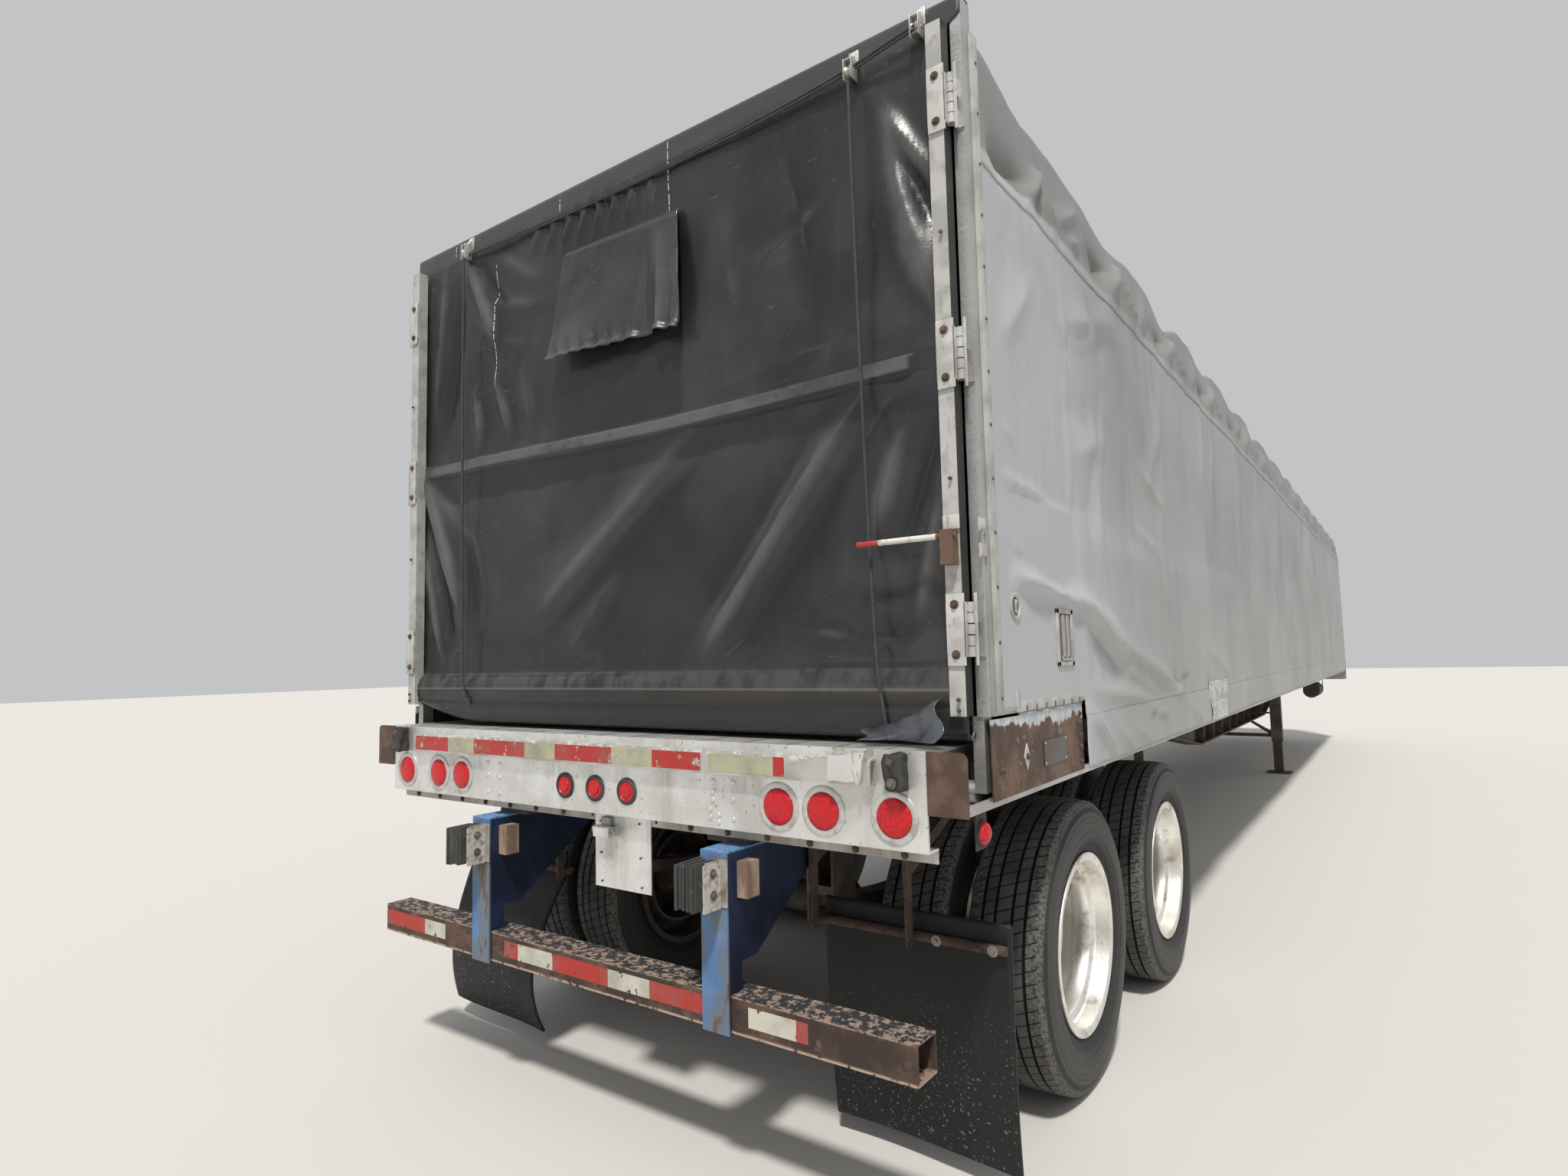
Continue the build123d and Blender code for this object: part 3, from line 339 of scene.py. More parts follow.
def polished_rim(name):
    """Polished aluminium with brake dust stains, made near black where the rims lie between the tyres."""
    made = Finish(name, metallic=1.0)
    rings = made.noise(5, 5)
    grit = made.noise(90, 4)
    stains = made.noise(12, 6, roughness=0.65)
    base = made.mix(made.step(rings, 0.42, 0.66) * 0.6, (0.93, 0.92, 0.89), (0.6, 0.55, 0.46))
    base = made.mix(made.step(stains, 0.52, 0.68) * 0.7, base, (0.42, 0.34, 0.25))
    base = made.mix(made.step(grit, 0.62, 0.72) * 0.4, base, (0.3, 0.27, 0.24))
    # Rims nearer the middle than this, under the trailer and between the tyres, are made near black, dull and
    # hardly metallic
    inner = made.between(made.part(0), -0.86, 0.86, 0.14)
    made.colour(made.mix(inner * 0.95, base, (0.045, 0.036, 0.03)))
    made.metal(1 - inner * 0.9)
    made.rough(0.36 + rings * 0.2 + inner * 0.3)
    made.bump(grit, 0.0006)
    return made.material


def cast_iron(name, colour=(0.09, 0.07, 0.06)):
    """Rough dull metal in one tone, paler where it is dusty."""
    made = Finish(name, metallic=0.2)
    patches = made.noise(12, 6)
    dusty = tuple(c * 1.6 + 0.02 for c in colour)
    made.colour(made.mix(made.step(patches, 0.42, 0.66), colour, dusty))
    made.rough(0.6 + patches * 0.25)
    made.bump(made.noise(150, 4) * 0.5 + patches * 0.3, 0.003)
    return made.material


# %% [markdown]
# Rubber and plastic shine less than metal and take dust in other places: it lies in the treads and low on
# the sidewalls, and a chewed buffer is paler where it is torn.


# %% Rubber and plastic finishes
def rubber(name, colour=(0.022, 0.022, 0.023), dust=0.35, grain=90):
    """Black rubber with dust and small nicks."""
    made = Finish(name)
    patches = made.noise(5, 6)
    nicks = made.noise(grain, 5, roughness=0.65)
    base = made.mix(made.step(patches, 0.4, 0.75) * dust, colour, (0.16, 0.145, 0.125))
    made.colour(made.mix(made.step(nicks, 0.6, 0.68) * 0.5, base, (0.12, 0.12, 0.12)))
    made.rough(0.55 + patches * 0.25)
    made.bump(nicks * 0.6 + patches * 0.2, 0.002)
    return made.material


def lens(name, colour=(0.64, 0.003, 0.012)):
    """Red lamp lens: glossy, with a fine pattern of prisms behind its face."""
    made = Finish(name, coat=0.05)
    prisms = made.node("ShaderNodeTexVoronoi", {"feature": "F1"}, {"Scale": 130, "Vector": made.place()})
    made.colour(made.mix(made.step(prisms, 0.15, 0.6), colour, tuple(c * 0.72 for c in colour)))
    made.rough(0.3 + prisms * 0.1)
    made.bump(prisms, 0.0015, 0.6)
    return made.material


# %% Give every node of the model its finish
# The cloth of the tarpaulin and the curtain comes with their sheets, so those two slots start with any finish
FINISHES = {
    "frame_steel": chassis_paint("chassis_paint"),
    "deck_aluminium": worn_aluminium("deck_planks", 0.62, 0.2, 0.42, 0.92),
    "worn_aluminium": worn_aluminium("worn_sheet", 0.82, 0.45, 0.42),
    "frame_aluminium": worn_aluminium("cover_extrusions", 0.58, 0.3, 0.4),
    "rusted_steel": rusted_steel("rusted_steel"),
    "guard_blue": painted_guard("guard_paint"),
    "black_rubber": rubber("buffer_rubber"),
    "lamp_red": lens("lamp_lens"),
    "tyre_rubber": rubber("tyre_rubber", (0.02, 0.02, 0.021), 0.45, 60),
    "rim_aluminium": polished_rim("polished_rims"),
    "hub_iron": cast_iron("hub_castings"),
    "spring_steel": chassis_paint("spring_paint", (0.045, 0.035, 0.03), 0.6, 0.5),
    "tank_paint": chassis_paint("tank_paint", (0.04, 0.035, 0.035), 0.4, 0.6),
    "tarpaulin_grey": worn_aluminium("tarpaulin_first", 0.4, 0.2, 0.6),
    "curtain_black": rubber("curtain_first"),
    "rope_black": rubber("rope"),
    "panel_grey": worn_aluminium("panel_sheet", 0.5, 0.3, 0.5),
    "bright_steel": zinc("bright_steel"),
}
for part in frame["record"]["subparts"]:
    node = frame["nodes"][part["node"]]
    node.data.materials.clear()
    node.data.materials.append(FINISHES[part["material_slot"]])

# %% [markdown]
# The hard details are small and many: bolts, rings, cheeks, straps. Each is made inside one bmesh from
# Blender's own primitives, and all that share a body and a finish are joined in one piece, which keeps the
# scene light. Three short helpers are enough: a bevelled block, a rod and a turned part. Bolts and rivets are
# short rods.


# %% Shape helpers
# Bolts and rivets are sunk this deep into what they hold
SEAT = 0.001


def fit_out(piece, body, replaces=()):
    """Puts a piece in the scene, says what it rides on and hides the parts it replaces."""
    bpy.context.scene.collection.objects.link(piece)
    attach(piece, body)
    for node in replaces:
        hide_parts(node)
    return piece


def new_piece(name, bm, body, slot, finish=None, smooth_angle=40, replaces=()):
    """Turns a finished bmesh into a piece. Without a finish of its own it gets the one of its slot."""
    bmesh.ops.recalc_face_normals(bm, faces=bm.faces)
    mesh = bpy.data.meshes.new(name)
    bm.to_mesh(mesh)
    bm.free()
    mesh.polygons.foreach_set("use_smooth", [True] * len(mesh.polygons))
    mesh.set_sharp_from_angle(angle=math.radians(smooth_angle))
    mesh.materials.append(finish or FINISHES[slot])
    return fit_out(bpy.data.objects.new(name, mesh), body, replaces)


def at_place(place):
    """Vector of a place that is written as (x, distance ahead of the sill, z)."""
    return Vector((place[0], ahead(place[1]), place[2]))


def block(bm, low, high, bevel=0.0, turn=None):
    """Box between two corners (x, distance ahead of the sill, z), with its edges rounded."""
    low, high = at_place(low), at_place(high)
    size, middle = high - low, (low + high) / 2
    matrix = Matrix.Translation(middle) @ (turn or Matrix.Identity(4)) @ Matrix.Diagonal((*size, 1))
    made = bmesh.ops.create_cube(bm, size=1, matrix=matrix)["verts"]
    if bevel:
        edges = {edge for vert in made for edge in vert.link_edges}
        bmesh.ops.bevel(bm, geom=list(edges), offset=bevel, offset_type="OFFSET", affect="EDGES",
                        segments=2, profile=0.5, material=-1, clamp_overlap=True)


def mirrored_block(bm, side, x0, x1, d0, d1, z0, z1, bevel=0.0):
    """Block whose X places are given for the kerb side and mirrored for the road side."""
    low, high = sorted((side * x0, side * x1))
    block(bm, (low, d0, z0), (high, d1, z1), bevel)


def rod(bm, start, end, radius, end_radius=None, sides=16):
    """Round bar between two places (x, distance ahead of the sill, z)."""
    start, end = at_place(start), at_place(end)
    turn = Vector((0, 0, 1)).rotation_difference(end - start).to_matrix().to_4x4()
    bmesh.ops.create_cone(bm, cap_ends=True, segments=sides, radius1=radius,
                          radius2=radius if end_radius is None else end_radius,
                          depth=(end - start).length, matrix=Matrix.Translation((start + end) / 2) @ turn)


def turned(bm, profile, place, axis, steps=32):
    """Spins a profile of (distance along the axis, radius) about an axis through a place."""
    axis = Vector(axis).normalized()
    across = axis.orthogonal().normalized()
    origin = at_place(place)
    verts = [bm.verts.new(origin + axis * along + across * radius) for along, radius in profile]
    edges = [bm.edges.new(pair) for pair in zip(verts, verts[1:])]
    bmesh.ops.spin(bm, geom=verts + edges, cent=origin, axis=axis, angle=2 * math.pi, steps=steps,
                   use_merge=True, use_duplicate=False)
    bmesh.ops.remove_doubles(bm, verts=[v for v in bm.verts if v.is_valid], dist=1e-5)


def bolt(bm, place, axis, size=0.011, washer=True):
    """Hexagon head on a washer. Place is on the surface, and axis points away from it."""
    at, axis = Vector(place), Vector(axis)
    if washer:
        rod(bm, at - axis * SEAT, at + axis * 0.0025, size * 1.05)
    rod(bm, at, at + axis * size * 0.75, size * 0.62, size * 0.55, sides=6)


def rivet(bm, place, axis, size=0.008):
    """Low round head."""
    at, axis = Vector(place), Vector(axis)
    rod(bm, at - axis * SEAT, at + axis * size * 0.3, size, size * 0.85, sides=10)
    rod(bm, at + axis * size * 0.3, at + axis * size * 0.55, size * 0.85, size * 0.35, sides=10)


# %% [markdown]
# Cloth starts as a flat sheet. Each sheet here is a grid from `bmesh.ops.create_grid`, laid on the shape
# that carries it and then pushed in and out by folds. A fold is one row of a table: where it starts, where
# it ends, how wide and how high it is. Simulating fourteen metres of tarpaulin would be slow and would put
# the creases anywhere; a table puts each one where the cloth really is caught.


# %% Sheet helpers
def grid_sheet(name, columns, rows):
    """Flat grid as a mesh, with each point's share of the way across it and along it."""
    bm = bmesh.new()
    bmesh.ops.create_grid(bm, x_segments=columns, y_segments=rows, size=0.5)
    mesh = bpy.data.meshes.new(name)
    bm.to_mesh(mesh)
    bm.free()
    flat = np.empty(len(mesh.vertices) * 3)
    mesh.vertices.foreach_get("co", flat)
    flat = flat.reshape(-1, 3) + 0.5
    return mesh, flat[:, 0], flat[:, 1]


def lay(mesh, points, across, along):
    """Moves a grid's points into place, and maps the cloth in metres so that its weave follows it."""
    mesh.vertices.foreach_set("co", points.astype(np.float32).ravel())
    corner = np.empty(len(mesh.loops), dtype=np.int32)
    mesh.loops.foreach_get("vertex_index", corner)
    layer = mesh.uv_layers.new(name="cloth")
    layer.data.foreach_set("uv", np.column_stack((across, along))[corner].astype(np.float32).ravel())


def mark_points(mesh, name, values):
    """Keeps a value at each point for a finish to read, such as a fold's height, from which it paints a
    highlight on the crest and shade in the hollow.
    """
    layer = mesh.attributes.new(name, "FLOAT", "POINT")
    layer.data.foreach_set("value", np.asarray(values, dtype=np.float32))


def cloth_piece(mesh, finish, wall, body, replaces=()):
    """A sheet's mesh as a piece, with the thickness of its cloth."""
    mesh.materials.append(finish)
    mesh.polygons.foreach_set("use_smooth", [True] * len(mesh.polygons))
    mesh.update()
    sheet = bpy.data.objects.new(mesh.name, mesh)
    thick = sheet.modifiers.new("wall", "SOLIDIFY")
    thick.thickness = wall
    thick.offset = 0
    return fit_out(sheet, body, replaces)


def smooth(low, high, value):
    """0 below low, 1 above high and smooth between, for arrays."""
    share = np.clip((value - low) / (high - low), 0, 1)
    return share * share * (3 - 2 * share)


def folds(table, a, b, sharpness=1.6):
    """Height of folds at the points (a, b). Rows: start a, start b, end a, end b, width, height. A low
    sharpness gives the crest a crease."""
    total = np.zeros_like(a)
    for a0, b0, a1, b1, width, height in table:
        run = np.array((a1 - a0, b1 - b0))
        length = np.hypot(*run)
        along = ((a - a0) * run[0] + (b - b0) * run[1]) / length
        aside = ((b - b0) * run[0] - (a - a0) * run[1]) / length
        reach = 0.3 * length + width
        fade = smooth(-0.6 * reach, reach, along) * smooth(-0.6 * reach, reach, length - along)
        total += height * np.exp(-np.abs(aside / width) ** sharpness) * fade
    return total


def ripple(x, y, z, scale, detail=3):
    """Smooth noise at the points, from about -1 to 1."""
    return np.array([noise.fractal(Vector(p) * scale, 1.0, 2.0, detail) for p in zip(x, y, z)])


# %% [markdown]
# Coated cloth looks dull and slightly waxy. Dust lies on it in broad patches and rain leaves narrow streaks
# down the sides. Light is painted into its colour too: highlights on the raised creases, shade in the hollows
# and on the roof's slope, and a paler rear end. The weave itself is only a fine bump, read from the sheet's
# own map so that it follows the cloth round the hips.

# %% Cloth finish
def tarpaulin_cloth():
    """Woven cloth under a plastic coat."""
    made = Finish("tarpaulin_vinyl")
    colour, dark, light = (0.305, 0.312, 0.31), (0.16, 0.16, 0.155), (0.43, 0.44, 0.44)
    patches = made.noise(1.3, 6)
    fine = made.noise(60, 4)
    runs = made.noise(9, 5, made.stretched((1, 1, 0.08)))
    rubs = made.noise(11, 6, roughness=0.7)
    base = made.mix(made.step(patches, 0.3, 0.72) * 0.6, colour, light)
    base = made.mix(made.step(runs, 0.5, 0.8) * 0.24, base, dark)
    base = made.mix(made.step(rubs, 0.6, 0.74) * 0.3, base, light)
    base = made.mix(made.step(fine, 0.6, 0.75) * 0.2, base, dark)
    # Painted highlights on the creases, painted shade in the hollows and on the roof's slope, and painted
    # light that makes the rear paler
    fold, height = made.mark("fold"), made.part(2)
    base = made.mix(made.step(fold, 0.008, 0.040) * 0.55, base, light)
    base = made.mix((1 - made.step(fold, -0.034, -0.006)) * 0.75, base, dark)
    # Painted shade on the hip and roof above the crease
    slope = made.step(height, 2.872, 2.90)
    base = made.mix(slope * 0.52, base, dark)
    hem = made.between(height, 1.281, 1.289, 0.0025)
    base = made.mix(hem * 0.7, base, dark)
    # Painted light: the cloth is made paler towards the rear end
    rear = 1 - made.step(made.part(1), ahead(0.5), ahead(1.6))
    made.colour(made.mix(rear * (1 - slope) * 0.75, base, (0.5, 0.52, 0.54)))
    made.rough(patches * 0.12 + rubs * 0.1 + 0.36)
    made.bump(made.weave() * 0.12 + fine * 0.35 + rubs * 0.9, 0.0025)
    return made.material


# %% [markdown]
# The tarpaulin is welded from two widths: a flat kerb side sheet, and a second sheet that laps over it at the
# seam below the hip and goes on over the roof to the other side. It hangs slack between the bows, so its edge
# against the sky dips in every bay, and the slack gathers in folds between the seam and the hip. The rows of
# the grid are closer together at the rear, where the folds are sharpest.

# %% Where the tarpaulin is caught, creased and slack
cover_low, cover_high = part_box("tarpaulin")
BOWS = [sum(corner.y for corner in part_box(f"bow_{n:02d}")) / 2 - SILL for n in range(1, 14)]
COVER_REAR, COVER_FRONT = cover_low.y - SILL, cover_high.y - SILL
COVER_HALF, COVER_FOOT = cover_high.x - 0.0005, cover_low.z
CREASE_HEIGHT, HIP_HEIGHT, HIP_HALF = 2.87, 3.215, 1.238
CROWN = cover_high.z - 0.0015
PANEL_EDGE, PANEL_FOOT = 0.905, 1.331
BAY_SAGS = [0.03, 0.085, 0.09, 0.075, 0.065, 0.06, 0.055, 0.05, 0.05, 0.045, 0.045, 0.04, 0.04, 0.03]
# As the cover opens, a bow moves back in the folded cloth by this share of its way to the front end
BOW_RETREAT = 0.0098
# Folds are scaled by the first value and stay between the other two
FOLD_DEPTH, DEEPEST, HIGHEST = 1.6, -0.075, 0.045
# Where the panel slides in behind it the cloth hangs this far out, and in its hollows at least the second
CLEAR, LEAST_CLEAR = 0.014, 0.0115
# Places are metres ahead of the sill and above the ground, on the kerb side
SIDE_FOLDS = [
    (0.23, 1.97, 0.66, 1.955, 0.018, 0.008), (0.25, 1.80, 0.44, 1.775, 0.015, 0.007),
    (0.27, 1.70, 0.36, 1.65, 0.012, 0.006), (0.24, 2.14, 0.40, 2.08, 0.014, 0.005),
    (0.34, 1.70, 0.90, 1.640, 0.036, 0.026), (0.38, 1.63, 0.90, 1.580, 0.026, -0.020),
    (0.86, 1.665, 1.35, 1.50, 0.050, 0.040), (0.92, 1.56, 1.30, 1.40, 0.040, -0.040),
    (1.25, 1.54, 2.25, 1.33, 0.055, 0.020), (1.25, 1.44, 2.10, 1.25, 0.040, -0.014),
    (1.00, 1.36, 1.86, 1.29, 0.030, 0.016), (1.02, 1.50, 1.12, 1.22, 0.030, 0.014),
    (0.93, 1.30, 1.20, 1.125, 0.028, 0.020), (0.95, 1.22, 1.06, 1.115, 0.030, -0.014),
    (1.20, 1.24, 1.45, 1.12, 0.030, 0.014), (0.90, 2.62, 0.885, 1.86, 0.016, 0.008),
    (0.60, 2.62, 0.31, 2.36, 0.060, 0.012), (0.62, 2.84, 0.88, 2.50, 0.045, 0.010),
    (1.16, 2.84, 1.30, 2.64, 0.050, -0.012), (1.45, 2.80, 1.62, 2.58, 0.060, 0.014),
    (0.92, 2.60, 1.46, 2.76, 0.055, 0.010), (0.92, 2.50, 1.46, 2.66, 0.045, -0.010),
    (0.90, 2.28, 1.40, 2.48, 0.070, -0.010),
    (0.92, 2.14, 1.30, 2.26, 0.060, 0.010), (1.37, 2.50, 1.10, 1.72, 0.020, 0.006),
    (1.24, 2.30, 1.02, 1.80, 0.050, -0.008), (2.12, 2.72, 2.16, 1.50, 0.022, 0.010),
    (1.72, 2.76, 1.92, 2.34, 0.045, 0.014), (2.28, 2.72, 1.96, 2.20, 0.055, 0.014),
    (1.82, 2.24, 2.22, 2.10, 0.030, 0.009), (1.70, 1.98, 2.10, 1.90, 0.028, 0.008),
    (1.95, 2.05, 2.02, 1.75, 0.030, 0.007), (2.90, 2.70, 2.89, 1.80, 0.022, 0.012),
    (2.60, 2.74, 2.74, 2.30, 0.045, 0.012), (3.67, 2.70, 3.30, 1.92, 0.026, 0.010),
    (3.30, 2.76, 3.12, 2.30, 0.050, 0.013), (2.14, 1.39, 2.30, 1.33, 0.022, -0.028),
    (2.28, 1.345, 2.54, 1.38, 0.018, -0.020), (2.18, 1.30, 2.34, 1.31, 0.020, 0.018),
    (1.72, 1.225, 1.85, 1.235, 0.016, -0.018), (1.86, 1.232, 2.04, 1.222, 0.015, 0.014),
    (2.98, 1.50, 3.58, 1.35, 0.038, 0.014), (2.86, 1.46, 3.05, 1.29, 0.030, 0.014),
    (3.60, 1.48, 3.52, 1.31, 0.030, 0.016), (1.50, 1.19, 1.74, 1.13, 0.022, 0.011),
    (2.45, 1.24, 2.75, 1.14, 0.030, 0.012), (3.05, 1.29, 3.10, 1.12, 0.020, 0.012),
    (3.30, 1.30, 3.32, 1.13, 0.024, -0.010),
]
HIP_FOLDS = [
    (0.28, 2.92, 0.62, 2.96, 0.045, -0.030), (0.60, 2.89, 0.76, 3.06, 0.024, 0.028),
    (0.74, 3.04, 0.86, 2.87, 0.018, 0.018), (0.68, 2.90, 0.80, 3.02, 0.016, -0.014),
    (0.90, 2.94, 1.24, 3.12, 0.030, 0.018), (1.00, 2.90, 1.20, 2.98, 0.022, 0.014),
    (1.20, 2.95, 1.54, 3.02, 0.050, -0.048), (1.52, 2.90, 1.74, 3.12, 0.035, 0.036),
    (1.74, 3.08, 1.86, 2.86, 0.020, 0.024), (1.86, 3.06, 1.94, 2.87, 0.016, 0.014),
    (1.98, 2.89, 2.20, 3.12, 0.028, 0.020), (2.08, 2.90, 2.34, 3.06, 0.026, -0.018),
    (2.24, 2.94, 2.50, 3.00, 0.045, -0.036), (2.52, 2.91, 2.74, 3.13, 0.032, 0.036),
    (2.76, 3.10, 2.90, 2.86, 0.020, 0.020), (2.90, 3.06, 2.98, 2.88, 0.018, 0.014),
    (3.10, 2.90, 3.30, 3.10, 0.028, 0.018), (3.30, 2.94, 3.58, 3.00, 0.045, -0.036),
    (3.60, 2.91, 3.84, 3.12, 0.034, 0.032), (3.86, 3.08, 3.98, 2.87, 0.022, 0.018),
    (4.30, 2.94, 4.60, 3.00, 0.045, -0.034), (4.66, 2.91, 4.90, 3.12, 0.038, 0.030),
]
# Folds of the hip in a far bay: place in the bay, run along it, start and end height, width, height
FAR_HIPS = [(0.30, 0.30, 2.94, 3.00, 0.050, -0.034), (0.62, 0.24, 2.90, 3.12, 0.036, 0.030),
            (0.90, 0.12, 3.08, 2.87, 0.024, 0.018), (0.08, 0.20, 2.90, 3.08, 0.028, 0.016)]


def drawn_folds(seed, first_bay):
    """Softer folds for the bays that lie further off, drawn at random but the same on each run."""
    drawn = random.Random(seed)
    sides, hips = [], []
    for start in BOWS[first_bay:]:
        for _ in range(4):
            place, lean = start + drawn.uniform(0, 1), drawn.uniform(-0.25, 0.25)
            sides.append((place, 2.74, place + lean, drawn.uniform(1.35, 2.2), drawn.uniform(0.03, 0.055),
                          drawn.uniform(0.008, 0.015)))
        for _ in range(3):
            place = start + drawn.uniform(0, 1)
            end = place + drawn.uniform(-0.2, 0.2)
            sides.append((place, 1.52, end, 1.2, 0.035, drawn.uniform(-0.014, 0.014)))
        for place, run, low, high, width, height in FAR_HIPS:
            place += start + drawn.uniform(-0.12, 0.12)
            run += drawn.uniform(-0.08, 0.08)
            hips.append((place, low, place + run, high, width * drawn.uniform(0.7, 1.3),
                         height * drawn.uniform(0.5, 1.2)))
    return sides + hips


KERB_FOLDS = SIDE_FOLDS + HIP_FOLDS + drawn_folds(11, 3)
FAR_FOLDS = drawn_folds(29, 0)
BOW_MARKS = [(place - 0.02, 2.82, place - 0.03, 1.30, 0.05, 0.007) for place in BOWS]
print(len(KERB_FOLDS) + len(FAR_FOLDS), "folds")


# %% Section of the cover
def cover_section():
    """Where the section's corners lie along it, and the distance, X and Z of its points, corners rounded."""
    # The hip is drawn a little outside the bows' corner, because the rounding below cuts it
    hip = (HIP_HALF + 0.009, HIP_HEIGHT + 0.009)
    half = [(COVER_HALF, COVER_FOOT), (COVER_HALF, CREASE_HEIGHT), hip]
    corners = np.array(half + [(0, CROWN)] + [(-x, z) for x, z in reversed(half)])
    places = np.concatenate(([0], np.cumsum(np.hypot(*np.diff(corners, axis=0).T))))
    even = np.linspace(0, places[-1], 1600)
    x, z = np.interp(even, places, corners[:, 0]), np.interp(even, places, corners[:, 1])
    window = np.hanning(29)
    window /= window.sum()
    pad = len(window) // 2
    x[pad:-pad], z[pad:-pad] = np.convolve(x, window, "valid"), np.convolve(z, window, "valid")
    return places, even, x, z


CORNERS_AT, *SECTION = cover_section()
SEAM_AT, HIP_AT, FAR_HIP_AT, FAR_SEAM_AT, GIRTH = CORNERS_AT[[1, 2, 4, 5, 6]]


def cover_lift(x, d, z):
    """Height of the folds, how far the cloth stands out, how slack it is between two bows, and the bay."""
    bays = np.array([COVER_REAR, *BOWS, COVER_FRONT])
    bay = np.clip(np.searchsorted(bays, d) - 1, 0, len(bays) - 2)
    bay_end = bays[bay + 1] - BOW_RETREAT * (COVER_FRONT - bays[bay + 1])
    within = np.clip((d - bays[bay]) / (bay_end - bays[bay]), 0, 1)
    slack = np.sin(np.pi * within) ** 2.4
    height = FOLD_DEPTH * np.where(x > 0, folds(KERB_FOLDS, d, z, 1.25), folds(FAR_FOLDS, d, z))
    height += folds(BOW_MARKS, d, z)
    height += 0.010 * ripple(x * 0.6, d, z * 0.8, 1.6) + 0.004 * ripple(x, d * 1.6, z * 0.6, 5.0, 4)
    height -= 0.010 * slack * smooth(COVER_FOOT, COVER_FOOT + 0.3, z) * (1 - smooth(2.6, 2.9, z))
    height *= smooth(COVER_REAR + 0.045, COVER_REAR + 0.17, d)
    height *= 1 - smooth(COVER_FRONT - 0.2, COVER_FRONT - 0.08, d)
    # It lies flat on the side panel behind the big fold, and stands a little proud of it
    flat_zone = (1 - smooth(1.57, 1.63, z)) * (1 - smooth(0.84, 0.90, d))
    over_panel = (1 - smooth(1.80, 1.95, z)) * (1 - smooth(0.93, 1.02, d))
    height *= 1 - 0.97 * flat_zone
    # Close to a bow the cloth can't go inwards: the bow holds it out, also when the bays are folded up
    from_bow = np.minimum(d - bays[bay], bay_end - d)
    inwards = -0.006 + (DEEPEST + 0.006) * smooth(0.085, 0.24, from_bow)
    lift = np.clip(height, inwards, HIGHEST)
    lift = np.where(over_panel > 0, np.maximum(lift, 0.0025 * over_panel), lift)
    # Ahead of the panel the cloth hangs clear, because the panel and its plate slide in behind it
    room = CLEAR - LEAST_CLEAR + 0.006 * smooth(1.62, 1.70, z)
    eased = CLEAR + np.where(lift > 0, 0.7 * lift, room * (np.exp(lift / room) - 1))
    swept = (1 - smooth(1.82, 1.98, z)) * smooth(0.86, 0.95, d) * (1 - smooth(3.85, 4.3, d))
    return np.clip(height, DEEPEST, HIGHEST), lift + (eased - lift) * swept, slack, bay


def cover_sheet(name, columns, rows, stops, shares, lap):
    """One width of the tarpaulin. Its columns are spaced by shares between the stops along the section."""
    mesh, across, along = grid_sheet(name, columns, rows)
    even, section_x, section_z = SECTION
    column_places = np.interp(np.linspace(0, 1, columns + 1), shares, stops)
    row_places = COVER_REAR + COVER_LENGTH * np.linspace(0, 1, rows + 1) ** 1.75
    # One row and one column lie exactly on the edges of the opening for the kick plate
    row_places[np.argmin(np.abs(row_places - PANEL_EDGE))] = PANEL_EDGE
    for edge in (PANEL_FOOT - COVER_FOOT, GIRTH - PANEL_FOOT + COVER_FOOT):
        nearest = np.argmin(np.abs(column_places - edge))
        if abs(column_places[nearest] - edge) < 0.05:
            column_places[nearest] = edge
    s = column_places[np.rint(across * columns).astype(int)]
    d = row_places[np.rint(along * rows).astype(int)]
    x, z = np.interp(s, even, section_x), np.interp(s, even, section_z)
    side = np.sign(x)
    foot_zone = (z < PANEL_FOOT + 1e-4) & (d < PANEL_EDGE + 1e-4)

    fold, lift, slack, bay = cover_lift(x, d, z)
    on_roof = smooth(CREASE_HEIGHT + 0.05, HIP_HEIGHT, z)
    near_hip = np.exp(-((np.abs(x) - HIP_HALF) / 0.30) ** 2)
    uneven = 0.8 + 0.35 * np.sin(d * 2.3 + side)
    drop = np.array(BAY_SAGS)[bay] * slack * on_roof * (0.25 + 0.75 * near_hip * uneven)

    slope = smooth(CREASE_HEIGHT, HIP_HEIGHT, z)
    x = x + side * (lift * (1 - 0.5 * slope) + lap)
    # The first bay is held up by the frame, so the cloth leaves it high and wide
    held = (1 - smooth(0.2, 1.2, d)) * near_hip * on_roof
    x, z = x + side * 0.022 * held, z + 0.030 * held
    z = z - drop + lift * 0.5 * slope * (1 - 0.5 * smooth(HIP_HALF, 0.9, np.abs(x)))
    # Hem along the foot: a doubled strip
    x = x + side * 0.003 * smooth(1.288, 1.282, z)

    lay(mesh, np.column_stack((x, d + SILL, z)), s, d)
    mark_points(mesh, "fold", fold)
    bm = bmesh.new()
    bm.from_mesh(mesh)
    cut = [face for face in bm.faces if all(foot_zone[v.index] for v in face.verts)]
    bmesh.ops.delete(bm, geom=cut, context="FACES")
    bm.to_mesh(mesh)
    bm.free()
    return cloth_piece(mesh, vinyl, 0.002, "root", ["tarpaulin"])


# %% Kerb side sheet and the sheet over the roof
COVER_LENGTH = COVER_FRONT - COVER_REAR
ROOF_START = SEAM_AT - 0.03
# The opening over each kick plate takes this area from its sheet
PLATE_OPENING = 0.15
vinyl = tarpaulin_cloth()
side_sheet = cover_sheet("tarpaulin_side", 118, 380, [0, SEAM_AT - 0.01], [0, 1], 0)
roof_sheet = cover_sheet("tarpaulin_roof", 104, 400,
                         [ROOF_START, HIP_AT + 0.06, FAR_HIP_AT - 0.06, FAR_SEAM_AT, GIRTH],
                         [0, 0.40, 0.56, 0.72, 1], 0.0025)
# Each sheet is given a mesh of its own
for sheet, width in ((side_sheet, SEAM_AT), (roof_sheet, GIRTH - ROOF_START)):
    width * COVER_LENGTH - PLATE_OPENING
    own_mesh(sheet)
print("side sheet", len(side_sheet.data.polygons), "roof sheet", len(roof_sheet.data.polygons))

